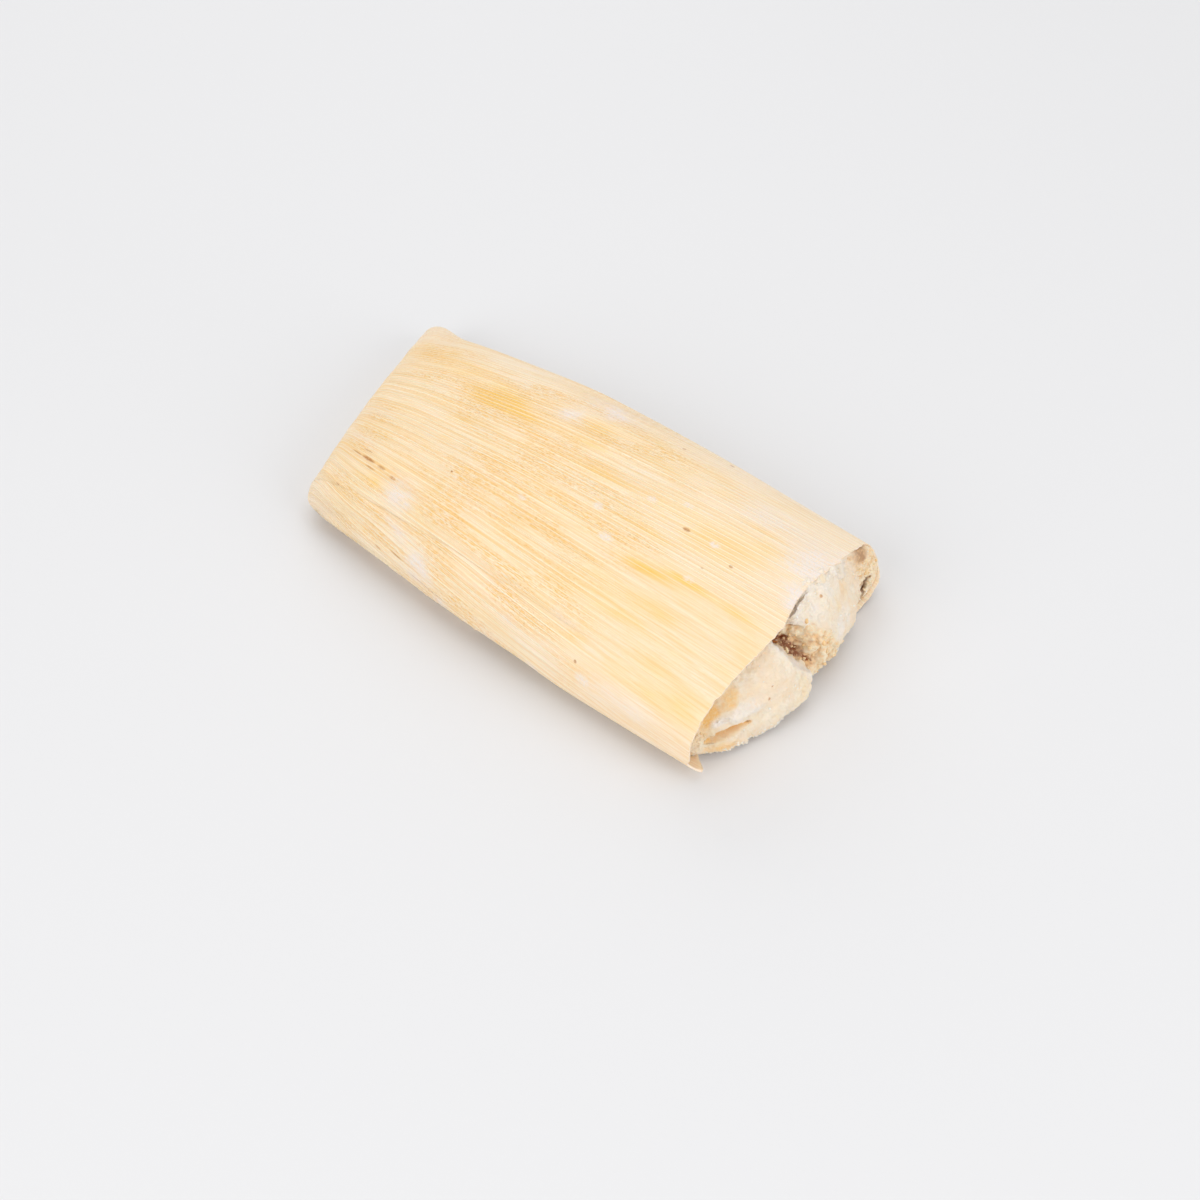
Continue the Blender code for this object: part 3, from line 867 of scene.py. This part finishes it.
def face_x(y, z):
    """x of the open face of the dough."""
    above = np.clip((z - DOUGH_BULGE_HEIGHT) / DOUGH_LEAN_HEIGHT, 0, None)
    below = np.clip((DOUGH_BULGE_HEIGHT - z) / DOUGH_BULGE_HEIGHT, 0, None)
    flank = ease(14, 19, y)
    across = np.minimum(y + FLANK_TILT * (np.maximum(z, 6.5) - 8) * flank, 35)
    lean = DOUGH_LEAN * (1 - 0.85 * ease(20, 25, across))
    face = curve(DOUGH_FACE, across)[..., 0] - lean * above ** 2
    return face - curve(UNDERCUT, y)[..., 0] * below ** 2


def nearest_on_path(path, y, z):
    """Signed distance to a path of (y, z, ...) and its other columns there."""
    path = np.array(path, float)
    best = np.full(y.shape, 1e9)
    side = np.zeros(y.shape)
    rest = np.zeros(y.shape + (path.shape[1] - 2,))
    for start, end in zip(path, path[1:]):
        step = end[:2] - start[:2]
        share = ((y - start[0]) * step[0] + (z - start[1]) * step[1]) / (step @ step)
        share = unit(share)
        gap_y = y - start[0] - share * step[0]
        gap_z = z - start[1] - share * step[1]
        gap = np.hypot(gap_y, gap_z)
        nearer = gap < best
        best = np.where(nearer, gap, best)
        side = np.where(nearer, np.sign(step[0] * gap_z - step[1] * gap_y), side)
        other = start[2:] + share[..., None] * (end[2:] - start[2:])
        rest = np.where(nearer[..., None], other, rest)
    return best * side, rest


def closing_reach(across, z, top, bottom, y):
    """How far each point reaches from the rim ring (0) to the face (1), and how central it is."""
    height = curve(WRAP_STATIONS, MASA_RIM / WRAP_LENGTH)[2]
    widest = WIDEST_SHARE * height
    upper = unit((z - widest) / np.maximum(top - widest, 0.05))
    lower = unit((widest - z) / np.maximum(widest - bottom, 0.05))
    upper = upper * (1 - across ** TOP_POWER) ** (1 / TOP_POWER)
    lower = lower * (1 - across ** BASE_POWERS[1]) ** (1 / BASE_POWERS[1])
    power = np.where(z > widest, TOP_POWER, BASE_POWERS[1])
    share = (across ** power + np.maximum(upper, lower) ** power) ** (1 / power)
    share = unit(share)
    share[0] = share[-1] = 1
    share[:, 0] = share[:, -1] = 1
    near = fall(-15, -9, y)
    far = ease(20, 26, y)
    square = 4.2 + (2.8 + 6 * ease(-3, 3, y)) * ease(-0.1, 0.6, upper - lower)
    square = square + (1.8 + 7 * near) * ease(-0.1, 0.6, lower - upper) + 32 * far
    return (1 - share ** square) ** (1 / square), fall(0.90, 0.985, share)


def dough_end():
    """Grid of the dough's open end, distance from the split, and how freely it may swell."""
    turn = even_turns(MASA_COLUMNS)
    even = np.linspace(0, 1, MASA_ROWS)
    steps = 0.5 * (1 - np.cos(np.pi * even)) / 2 + 0.5 * even
    v = steps[:, None, None]
    discs = []
    for distance in (WRAP_LENGTH, MASA_RIM):
        bottom, top = (wrap(distance, side * turn, DOUGH_START, MASA_INSET)[None]
                       for side in (-1, 1))
        discs.append(np.moveaxis(bottom * (1 - v) + top * v, -1, 0))
    (edge, rim_y, rim_z), (x, y, z) = discs
    across = np.abs(np.cos(2 * np.pi * turn))[None, :]
    reach, free = closing_reach(across, z, top[..., 2], bottom[..., 2], y)
    front = face_x(y, z)
    for place_y, place_z, wide, high, out in FORMS:
        front = front + out * hump(y, place_y, wide) * hump(z, place_z, high)
    start = x
    x = x + (front - x) * reach
    taper = unit((x - start) / np.maximum(edge - start, 1))
    y = y + (rim_y - y) * taper
    z = z + (rim_z - z) * taper
    over = ease(-3.5, 0.5, y) * fall(20, 24, y) * ease(0.55, 0.95, steps[:, None])
    z = z + RIM_RISE * ease(-0.35, 0.5, x - edge) * over
    gap, cut = nearest_on_path(SPLIT, y, z)
    near = np.abs(gap) / cut[..., 0]
    walls = np.where(gap < 0, fall(0.25, 0.85, near), 1 - ease(0.2, 2.1, near))
    x = np.minimum(x, x - (x - cut[..., 1]) * walls)
    for path, way, low, high in ((SLOT, -1, 0.4, 1.3), (CRACK, -1, 0.3, 1.2),
                                 (LIP, 1, 0, 1.4)):
        aside, cut = nearest_on_path(path, y, z)
        walls = fall(low, high, np.abs(aside) / cut[..., 0])
        x = x + way * cut[..., 1] * walls * ease(0.2, 0.5, reach)
    free = np.maximum(free, ease(0.2, 1.4, x - edge)) * ease(0.02, 0.3, reach)
    return fields(x, y, z), gap, free


def path_mask(path, y, z, low, high):
    """1 along a path and 0 beyond, with its own half widths as the unit."""
    aside, cut = nearest_on_path(path, y, z)
    return fall(low, high, np.abs(aside) / cut[..., 0])


def dough_masks(grid, gap):
    """Where the dough is white, cream yellow, tan and broken, or brown; the brown is partly browned
    dough and partly painted shade in the crack, the slot, the crease and under the rim.
    """
    x, y, z = np.moveaxis(grid, -1, 0)
    patch = rough(grid / 2.6, 700, 3)
    slow = rough(grid / 6, 705, 2)
    tan = ease(-1.6, -0.9, gap + 0.5 * patch)
    brow = y - 2 - 0.87 * (17 - z)
    tan = tan * fall(-0.8, 0.8, brow + 1.6 * patch)
    tan = tan * fall(16, 17.4, z + 0.12 * y + 1.2 * patch)
    roll = ease(-0.6, 0.6, y - 28 + 0.55 * np.clip(z - 7, 0, 9.5) + 0.9 * patch)
    slot = path_mask(SLOT, y, z, 0.5, 1.6)
    tan = most(tan, roll, 0.2 * slot)
    lip = path_mask(LIP, y, z, 0.4, 1.9)
    hollow = hump(y, -26.5, 4.2) * hump(z, 10.2, 3.8)
    hollow = hollow + 0.8 * hump(y, -21, 2.8) * hump(z, 13.4, 2.4)
    # under the husk's rim on the far roll: painted golden and brown, partly crust and partly
    # painted shade of the gap under the rim
    under_rim = hump(y, 27.5, 4) * ease(10.5, 13.5, z + 1.5 * patch)
    yellow = most(ease(0.20, 0.90, hollow + 0.6 * patch) * (1 - lip),
                  slot * ease(-0.7, -0.1, patch),
                  0.5 * hump(y, 16, 3) * hump(z, 15, 3),
                  0.75 * hump(y, -24, 4) * hump(z, 2.8, 1.2),
                  0.50 * ease(-0.1, 0.5, slow + 0.5 * patch) * (1 - tan),
                  0.9 * under_rim)
    tan = tan * (1 - 0.7 * under_rim)
    # the crease along the split and the brown below: partly browned dough, partly painted shade in
    # the crack, the slot, under the rim and in the crease
    width = np.clip(4.4 - 0.55 * (x - 56), 1.2, 4.4)
    crease = ease(-1.1, -0.3, gap + 0.5 * patch) * fall(0.4, 1, (gap + 1.6 * patch) / width)
    brown_and_crease_shade = most(0.9 * path_mask(CRACK, y, z, 0.4, 1.5),
                 0.6 * path_mask(SLOT, y, z, 0.2, 1.2) * ease(-0.2, 0.4, patch),
                 0.6 * under_rim,
                 crease * ease(7, 11, z + 2.5 * patch),
                 hump(gap, 0.5 + 0.8 * patch, 0.5) * ease(5.5, 8, z))
    white = 0.45 + 0.9 * slow + 0.5 * patch + 0.6 * ease(14, 17.5, z) * ease(-3, 0, y)
    white = white + 0.7 * hump(y, 12.5, 3) * hump(z, 8.5, 4)
    white = white + 0.6 * fall(2, 3.6, -gap) * ease(0.9, 1.5, -gap) + 0.8 * lip
    white = unit(white) * (1 - 0.75 * yellow)
    white = np.maximum(white, 0.7 * fall(0.8, 2.4, z)) * (1 - 0.93 * tan)
    white = most(white, 0.8 * hump(y, 8.5, 1.8) * hump(z, 13, 2) * ease(-0.3, 0.3, patch),
                 0.9 * hump(y, 2, 4.5) * fall(2.4, 4.6, z + 1.2 * patch))
    masks = {"tan": tan, "yellow": yellow, "brown_and_crease_shade": ease(0.25, 0.80, brown_and_crease_shade), "white": white}
    return {key: unit(value) for key, value in masks.items()}


def dough_relief(grid, masks, free):
    """Outward relief of the dough's end in mm, and how deep each point lies among its lumps, which
    is used to paint shade into the colour there.
    """
    warp = [rough(grid / 2.2, seed, 2) for seed in (750, 752, 754)]
    warped = grid + 0.9 * np.stack(warp, axis=-1)
    lump, next_lump = crumb_cells(warped / 2.6, 740)
    nub, _ = crumb_cells(warped / 1.05, 745)
    grain, _ = crumb_cells(grid / 0.55, 760)
    swell = 0.75 * rough(grid / 4.4, 720, 2)
    torn = 1.05 * (0.60 - lump) + 0.45 * (0.60 - nub) + 0.12 * (0.6 - grain)
    torn = torn + 0.55 * rough(grid / 1.6, 765, 3)
    torn = torn - 0.25 * fall(0.02, 0.25, next_lump - lump)
    soft = 0.50 * (0.6 - lump) + 0.42 * (0.6 - nub) + 0.24 * (0.6 - grain)
    soft = soft + 0.32 * rough(grid / 1.3, 770, 3) + 0.20 * rough(grid / 0.45, 780, 2)
    smooth = 0.22 * rough(grid / 1.1, 790, 3) + 0.10 * (0.6 - grain)
    tan = masks["tan"]
    yellow = masks["yellow"] * (1 - tan)
    fine = tan * torn + yellow * smooth + (1 - tan - yellow) * soft
    # painted shade: high between the lumps and in the dips of the noise, where the dough's colour
    # is darkened
    cavity_shade = 0.45 * ease(0.35, 0.95, lump) + 0.35 * ease(0.3, 0.85, nub)
    cavity_shade = cavity_shade + 0.35 * ease(0.1, 0.7, -rough(grid / 1.6, 765, 3))
    return (swell * (1 - 0.6 * yellow) + fine) * free, unit(cavity_shade) * free


def make_dough(material):
    """The dough: detailed at its open end, plain inside the husk."""
    grid, gap, free = dough_end()
    masks = dough_masks(grid, gap)
    relief, depth = dough_relief(grid, masks, free)
    out = -normals(grid)
    end = grid + out * relief[..., None]
    end[..., 2] = np.maximum(end[..., 2], 0.25)
    for edge in ((0, slice(None)), (-1, slice(None)), (slice(None), 0), (slice(None), -1)):
        end[edge] = grid[edge]
    sheets = Sheets()
    # depth is kept as an attribute only for the painted shade in the pits
    sheets.add(end, dict(masks, depth=depth, place=end), (0, 0, 1, 0.7), flip=True)
    turn = even_turns(MASA_COLUMNS)
    ring = np.concatenate([-turn[::-1], turn[1:]])[None, :]
    rows = np.array([9, 9.6, 11, 13.5, 20, 40, 60, 71, 77.5, 84, 100, MASA_RIM])[:, None]
    bulk = wrap(rows, ring, DOUGH_START, MASA_INSET)
    bulk[0, :MASA_COLUMNS] = bulk[0, :MASA_COLUMNS:-1]
    plain = {key: np.zeros(bulk.shape[:2]) for key in (*masks, "depth")}
    sheets.add(bulk, dict(plain, place=bulk), (0, 0.72, 1, 1))
    return sheets.build("masa_dough", material), end, out, masks, free


def dough_material():
    """Steamed corn dough: cream, yellow where pressed, tan where broken, frosted white, with
    painted shade in its pits and a brown that is partly painted shade.
    """
    look = Look("masa_steamed", 0.78, 0.22)
    place = look.value("place", "Vector")
    # depth: how deep a point lies among the lumps, used below to paint shade into the pits
    depth = look.value("depth")
    mottle = look.speckle(place, 0.40, 4, 0.6)
    grain = look.speckle(place, 2.4, 4, 0.65)
    pore = look.speckle(place, 1.3, 3, 0.6)
    look.colour = look.blend(look.between(mottle, 0.35, 0.65), MASA_CREAM, MASA_PALE)
    yellow = look.times(look.value("yellow"), look.between(grain, 0.30, 0.60, 0.55, 1))
    look.coat(yellow, MASA_YELLOW)
    # painted shade in the pits: browner, and a darker tan where the dough lies deep
    pit_shade = look.times(look.between(depth, 0.25, 0.85), look.between(pore, 0.40, 0.62))
    crumb = look.blend(look.between(pore, 0.36, 0.58, 0.50, 1), MASA_TAN, MASA_TAN_LIGHT)
    crumb = look.blend(look.between(depth, 0.15, 0.8, 0, 0.65), crumb, MASA_TAN)
    crumb = look.blend(look.times(pit_shade, 0.45), crumb, MASA_BROWN_AND_SHADE)
    look.coat(look.value("tan"), crumb)
    frost = look.times(look.value("white"), look.between(grain, 0.25, 0.55, 0.6, 1))
    look.coat(frost, MASA_WHITE)
    # more painted shade in the pits, and the brown laid on more thickly where the dough lies deep
    look.coat(look.times(pit_shade, 0.22), MASA_TAN)
    uneven = look.calc("ADD", look.between(pore, 0.36, 0.55, 0.35, 0.75),
                       look.between(depth, 0.2, 0.8, 0.15, 0.30))
    # brown coat: partly browned dough, partly painted shade in cracks, creases and under the rim
    look.coat(look.times(look.value("brown_and_crease_shade"), uneven), MASA_BROWN_AND_SHADE)
    look.coat(ovals(look, place, MASA_SPECKS), MASA_SPECK)
    height = look.calc("ADD", grain, look.speckle(place, 5, 4, 0.7))
    return look.finish(height, 0.00022, 0.20, (1, 0.75, 0.5), 0.0012)


def make_smear(material):
    """Dough and frost smeared over the cut edge of the husk on the far half."""
    turn = np.linspace(*SMEAR_TURNS, 300)[None, :]
    distance = np.linspace(*SMEAR_REACH, 90)[:, None]
    grid = wrap(distance, turn)
    place = fields(distance, SMEAR_GIRTH * turn, 0)
    low, high = SMEAR_TURNS
    ends = ease(low, low + 0.026, turn) * fall(high - 0.05, high, turn)
    nub, _ = crumb_cells(place / 1.3, 812)
    lumps = 0.45 * (0.55 - nub) + 0.45 * rough(place / 2.2, 810, 3)
    lumps = lumps + 0.30 * rough(place / 0.9, 812, 2)
    shore = distance - SMEAR_SHORE - 1.2 * rough(place / 2.6, 815, 3) - 0.8 * (1 - ends)
    past = distance - WRAP_LENGTH - 0.8 * rough(place / 1.9, 818, 2)
    level = SMEAR_HEIGHT * ease(-0.9, 0.9, shore) - 0.10 + lumps * ease(-0.4, 0.8, shore)
    level = level - 1.3 * ease(-1.2, 1.8, past) - 0.4 * np.clip(past, 0, None)
    level = level - (0.7 + 1.8 * ease(-0.6, 0.4, past)) * (1 - ends)
    rows = np.linspace(0, np.pi, grid.shape[0])[:, None]
    columns = np.linspace(0, np.pi, grid.shape[1])[None, :]
    thick = 0.9 * np.minimum(1, 6 * np.sin(rows)) * np.minimum(1, 6 * np.sin(columns))
    out = normals(grid)
    upper = grid + out * level[..., None]
    lower = grid + out * (level - np.maximum(thick, 0))[..., None]
    white = unit(0.55 + 0.9 * rough(place / 2.6, 830, 2))
    yellow = 0.7 * ease(0, 0.5, rough(place / 3.3, 835, 2))
    zero = np.zeros(level.shape)
    values = {"tan": zero, "yellow": yellow, "brown_and_crease_shade": zero, "white": white, "depth": zero}
    sheets = Sheets()
    sheets.add(upper, dict(values, place=upper), (0, 0, 1, 0.5))
    sheets.add(lower, dict(values, place=lower), (0, 0.5, 1, 1), flip=True)
    return sheets.build("masa_smear", material)


# ---- small pieces
def pebble(detail):
    """Points and faces of a small round lump."""
    data = bmesh.new()
    bmesh.ops.create_icosphere(data, subdivisions=detail, radius=1)
    points = np.array([tuple(v.co) for v in data.verts])
    faces = np.array([[v.index for v in f.verts] for f in data.faces])
    data.free()
    return points, faces


def scatter(name, centres, sizes, stretch, material, detail, seed):
    """Join many uneven lumps into one object."""
    shape, faces = pebble(detail)
    draw = np.random.default_rng(seed)
    points = []
    polygons = []
    tones = []
    for number, (centre, size) in enumerate(zip(centres, sizes)):
        turn = Matrix.Rotation(draw.uniform(0, 6.28), 3, Vector(draw.normal(size=3)).normalized())
        scale = size * np.exp(draw.normal(0, stretch, 3))
        lump = shape * (1 + 0.35 * noise(shape * 1.3 + number * 7.1, seed)[:, None])
        points.append((lump * scale) @ np.array(turn) + centre)
        polygons.append(faces + number * len(shape))
        tones.append(np.full(len(shape), draw.random()))
    points = np.concatenate(points)
    points[:, 2] = np.maximum(points[:, 2], CLEARANCE)
    piece = place_mesh(name, points, np.concatenate(polygons).tolist(), material)
    tone = piece.data.attributes.new("tone", "FLOAT", "POINT")
    tone.data.foreach_set("value", np.concatenate(tones).astype(np.float32))
    return piece


def grain_material(name, dark, light, roughness):
    """Crumbs or shreds of mixed tone."""
    look = Look(name, roughness, 0.3)
    place = look.node("TexCoord", {}).outputs["Object"]
    small = look.speckle(place, 2500, 3, 0.6)
    mix = look.calc("ADD", look.times(look.value("tone"), 0.7), look.times(small, 0.4), clamp=True)
    look.colour = look.blend(mix, dark, light)
    return look.finish(small, 0.0001, 0.2, (1, 0.7, 0.4), 0.0008)


def pick(end, out, weight, count, lift, seed):
    """Random places on the dough's end, more where weight is high."""
    draw = np.random.default_rng(seed)
    area = np.linalg.norm(np.cross(np.gradient(end, axis=0), np.gradient(end, axis=1)), axis=-1)
    chance = (weight * area).ravel()
    chosen = draw.choice(chance.size, count, replace=False, p=chance / chance.sum())
    return end.reshape(-1, 3)[chosen] + lift * out.reshape(-1, 3)[chosen]


# ---- filling
# shreds of meat: how many, where they start and spread, which way they lean, their sizes
SHRED_COUNT = 26
SHRED_ROOT = (55.2, 0, 0)
SHRED_SPREAD = ((0, 1.4), (-9.5, -3.6), (11, 18))
SHRED_LEAN = ((0.3, 1), (-0.6, 0.8), (-1.1, 0.4))
SHRED_LENGTHS = (1.6, 3.6)
SHRED_THICKNESSES = (0.22, 0.5)


def make_filling(material):
    """The line of meat, with loose shreds where it shows in the split."""
    first, last = FILLING[0][0], FILLING[-1][0]
    stations = np.concatenate([np.linspace(first, 50, 30)[:-1], np.linspace(50, last, 26)])
    turn = np.linspace(0, 2 * np.pi, 97)
    table = curve(FILLING, stations)
    y, z, wide, high = (table[:, k:k + 1] for k in range(4))
    x = stations[:, None]
    lumps = 1 + 0.06 * np.sin(3 * turn + 0.35 * x) + 0.06 * np.sin(2 * turn - 0.23 * x)
    strands = 0.35 * noise(fields(6 * np.cos(turn), 6 * np.sin(turn), x / 4), 900)
    ring = fields(x, y + (wide * lumps + strands) * np.cos(turn),
                  z + (high * lumps + strands) * np.sin(turn))
    ring[:, -1] = ring[:, 0]
    caps = [np.broadcast_to(ring[k].mean(axis=0), (1,) + ring[k].shape) for k in (0, -1)]
    grid = np.concatenate([caps[0], ring, caps[1]])
    sheets = Sheets()
    values = {"tone": np.full(grid.shape[:2], 0.4)}
    sheets.add(grid, values, (0, 0, 1, 0.5))
    draw = np.random.default_rng(77)
    for _ in range(SHRED_COUNT):
        start = SHRED_ROOT + np.array([draw.uniform(*limits) for limits in SHRED_SPREAD])
        lean = np.array([draw.uniform(*limits) for limits in SHRED_LEAN])
        lean = lean / np.linalg.norm(lean) * draw.uniform(*SHRED_LENGTHS)
        bow = draw.normal(0, 0.5, 3)
        thick = draw.uniform(*SHRED_THICKNESSES)
        sheets.add(*shred(start, lean, bow, thick, draw.random()), (0, 0.5, 1, 1))
    return sheets.build("filling_meat", material)


def shred(start, lean, bow, thick, tone):
    """One tapering fibre of meat."""
    share = np.linspace(0, 1, 9)[:, None]
    line = start + lean * share + bow * share * (1 - share)
    side = np.cross(lean, (0, 0, 1))
    side = side / np.linalg.norm(side)
    other = np.cross(lean, side)
    other = other / np.linalg.norm(other)
    turn = np.linspace(0, 2 * np.pi, 9)[None, :]
    radius = thick * np.sqrt(np.maximum(1 - (2 * share - 1) ** 4, 0))
    grid = line[:, None] + radius[..., None] * (np.cos(turn)[..., None] * side
                                                + 0.7 * np.sin(turn)[..., None] * other)
    grid[:, -1] = grid[:, 0]
    return grid, {"tone": np.full(grid.shape[:2], tone)}


# ---- the object
# loose pieces: how many, smallest and largest size, stretch, how far they lie out,
# rounds of subdivision, seeds of their places and shapes
CRUMBS = (140, (0.12, 0.34), 0.30, 0.03, 2, (21, 31))
FROST_GRAINS = (900, (0.08, 0.20), 0.45, 0.06, 1, (22, 32))


def strew(name, end, out, weight, kind, draw, material):
    """Loose pieces on the dough's end."""
    count, sizes, stretch, lift, detail, seeds = kind
    places = pick(end, out, weight, count, lift, seeds[0])
    return scatter(name, places, draw.uniform(*sizes, count), stretch, material, detail, seeds[1])


def dress():
    """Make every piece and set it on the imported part."""
    husk = husk_material()
    masa = dough_material()
    wrap_piece = make_husk(husk)
    tail_piece = make_tail(husk)
    dough, end, out, masks, reach = make_dough(masa)
    smear = make_smear(masa)
    meat = make_filling(grain_material("meat_cooked", srgb(92, 44, 20), srgb(176, 112, 62), 0.5))
    broken = (masks["tan"] + 0.02) * ease(0.6, 0.9, reach)
    draw = np.random.default_rng(5)
    crumb = grain_material("masa_crumb", srgb(236, 192, 134), srgb(252, 232, 196), 0.8)
    crumbs = strew("masa_crumbs", end, out, broken, CRUMBS, draw, crumb)
    low = fall(1, 3.5, end[..., 2]) * ease(0.25, 0.5, reach)
    icy = low + 0.05 * masks["white"] * ease(0.4, 0.7, reach)
    icy = icy + 2 * hump(end[..., 1], 0.3, 1.6) * fall(3, 6, end[..., 2]) * reach
    ice = grain_material("frost_ice", srgb(250, 240, 226), srgb(255, 250, 240), 0.5)
    frost = strew("frost_grains", end, out, icy, FROST_GRAINS, draw, ice)
    for piece, node, slot in ((wrap_piece, "husk", 0), (tail_piece, "husk", 0),
                              (dough, "masa", 1), (smear, "masa", 1), (crumbs, "masa", 1),
                              (frost, "masa", 1), (meat, "filling", 2)):
        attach(piece, "root")
        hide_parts(node)


# ---- stage
FLOOR_REACH = 4
FLOOR_COLOUR = (0.775, 0.775, 0.785, 1)
WORLD_STRENGTH = 0.60
# lights: place and diameter in m, power in W
LIGHTS = (
    ("key", (-0.06, 0.14, 1.00), 1.1, 2.45),
    ("front", (0, -1.10, 0.60), 0.9, 5.5),
    ("side", (1.10, 0.05, 0.45), 0.9, 4.6),
    ("back", (-0.85, 0.70, 0.50), 0.9, 2.4),
)
CAMERA_PLACE = (0.26481, -0.27243, 0.32459)
CAMERA_FORWARD = (-0.50591, 0.54595, -0.66783)
CAMERA_RIGHT = (0.74128, 0.67107, -0.01295)
CAMERA_LENS = 69.3


def make_floor():
    """A plain pale floor."""
    mesh = bpy.data.meshes.new("floor")
    corners = ((-1, -1), (1, -1), (1, 1), (-1, 1))
    mesh.from_pydata([(x * FLOOR_REACH, y * FLOOR_REACH, 0) for x, y in corners], [],
                     [(0, 1, 2, 3)])
    look = Look("floor_pale", 0.6, 0.2)
    look.plug(look.shader.inputs["Base Color"], FLOOR_COLOUR)
    mesh.materials.append(look.material)
    floor = bpy.data.objects.new("floor", mesh)
    bpy.context.scene.collection.objects.link(floor)


def make_lights():
    """Soft lights on four sides, in a bright room."""
    scene = bpy.context.scene
    world = bpy.data.worlds.new("room")
    world.use_nodes = True
    back = world.node_tree.nodes["Background"]
    back.inputs["Color"].default_value = (1, 1, 1, 1)
    back.inputs["Strength"].default_value = WORLD_STRENGTH
    scene.world = world
    for name, place, size, power in LIGHTS:
        data = bpy.data.lights.new(name, "AREA")
        data.shape = "DISK"
        data.size = size
        data.energy = power
        lamp = bpy.data.objects.new(name, data)
        lamp.location = place
        lamp.rotation_euler = (-Vector(place)).to_track_quat("-Z", "Y").to_euler()
        scene.collection.objects.link(lamp)


def make_camera():
    """The camera, above and in front of the open end."""
    data = bpy.data.cameras.new("camera")
    data.lens = CAMERA_LENS
    data.sensor_width = 36
    data.clip_start = 0.01
    data.clip_end = 20
    camera = bpy.data.objects.new("camera", data)
    forward = Vector(CAMERA_FORWARD).normalized()
    right = Vector(CAMERA_RIGHT).normalized()
    up = right.cross(forward)
    axes = Matrix((right, up, -forward)).transposed().to_4x4()
    axes.translation = Vector(CAMERA_PLACE)
    camera.matrix_world = axes
    bpy.context.scene.collection.objects.link(camera)
    bpy.context.scene.camera = camera


dress()
make_floor()
make_lights()
make_camera()
bpy.context.scene.view_settings.view_transform = "Standard"
bpy.context.view_layer.update()
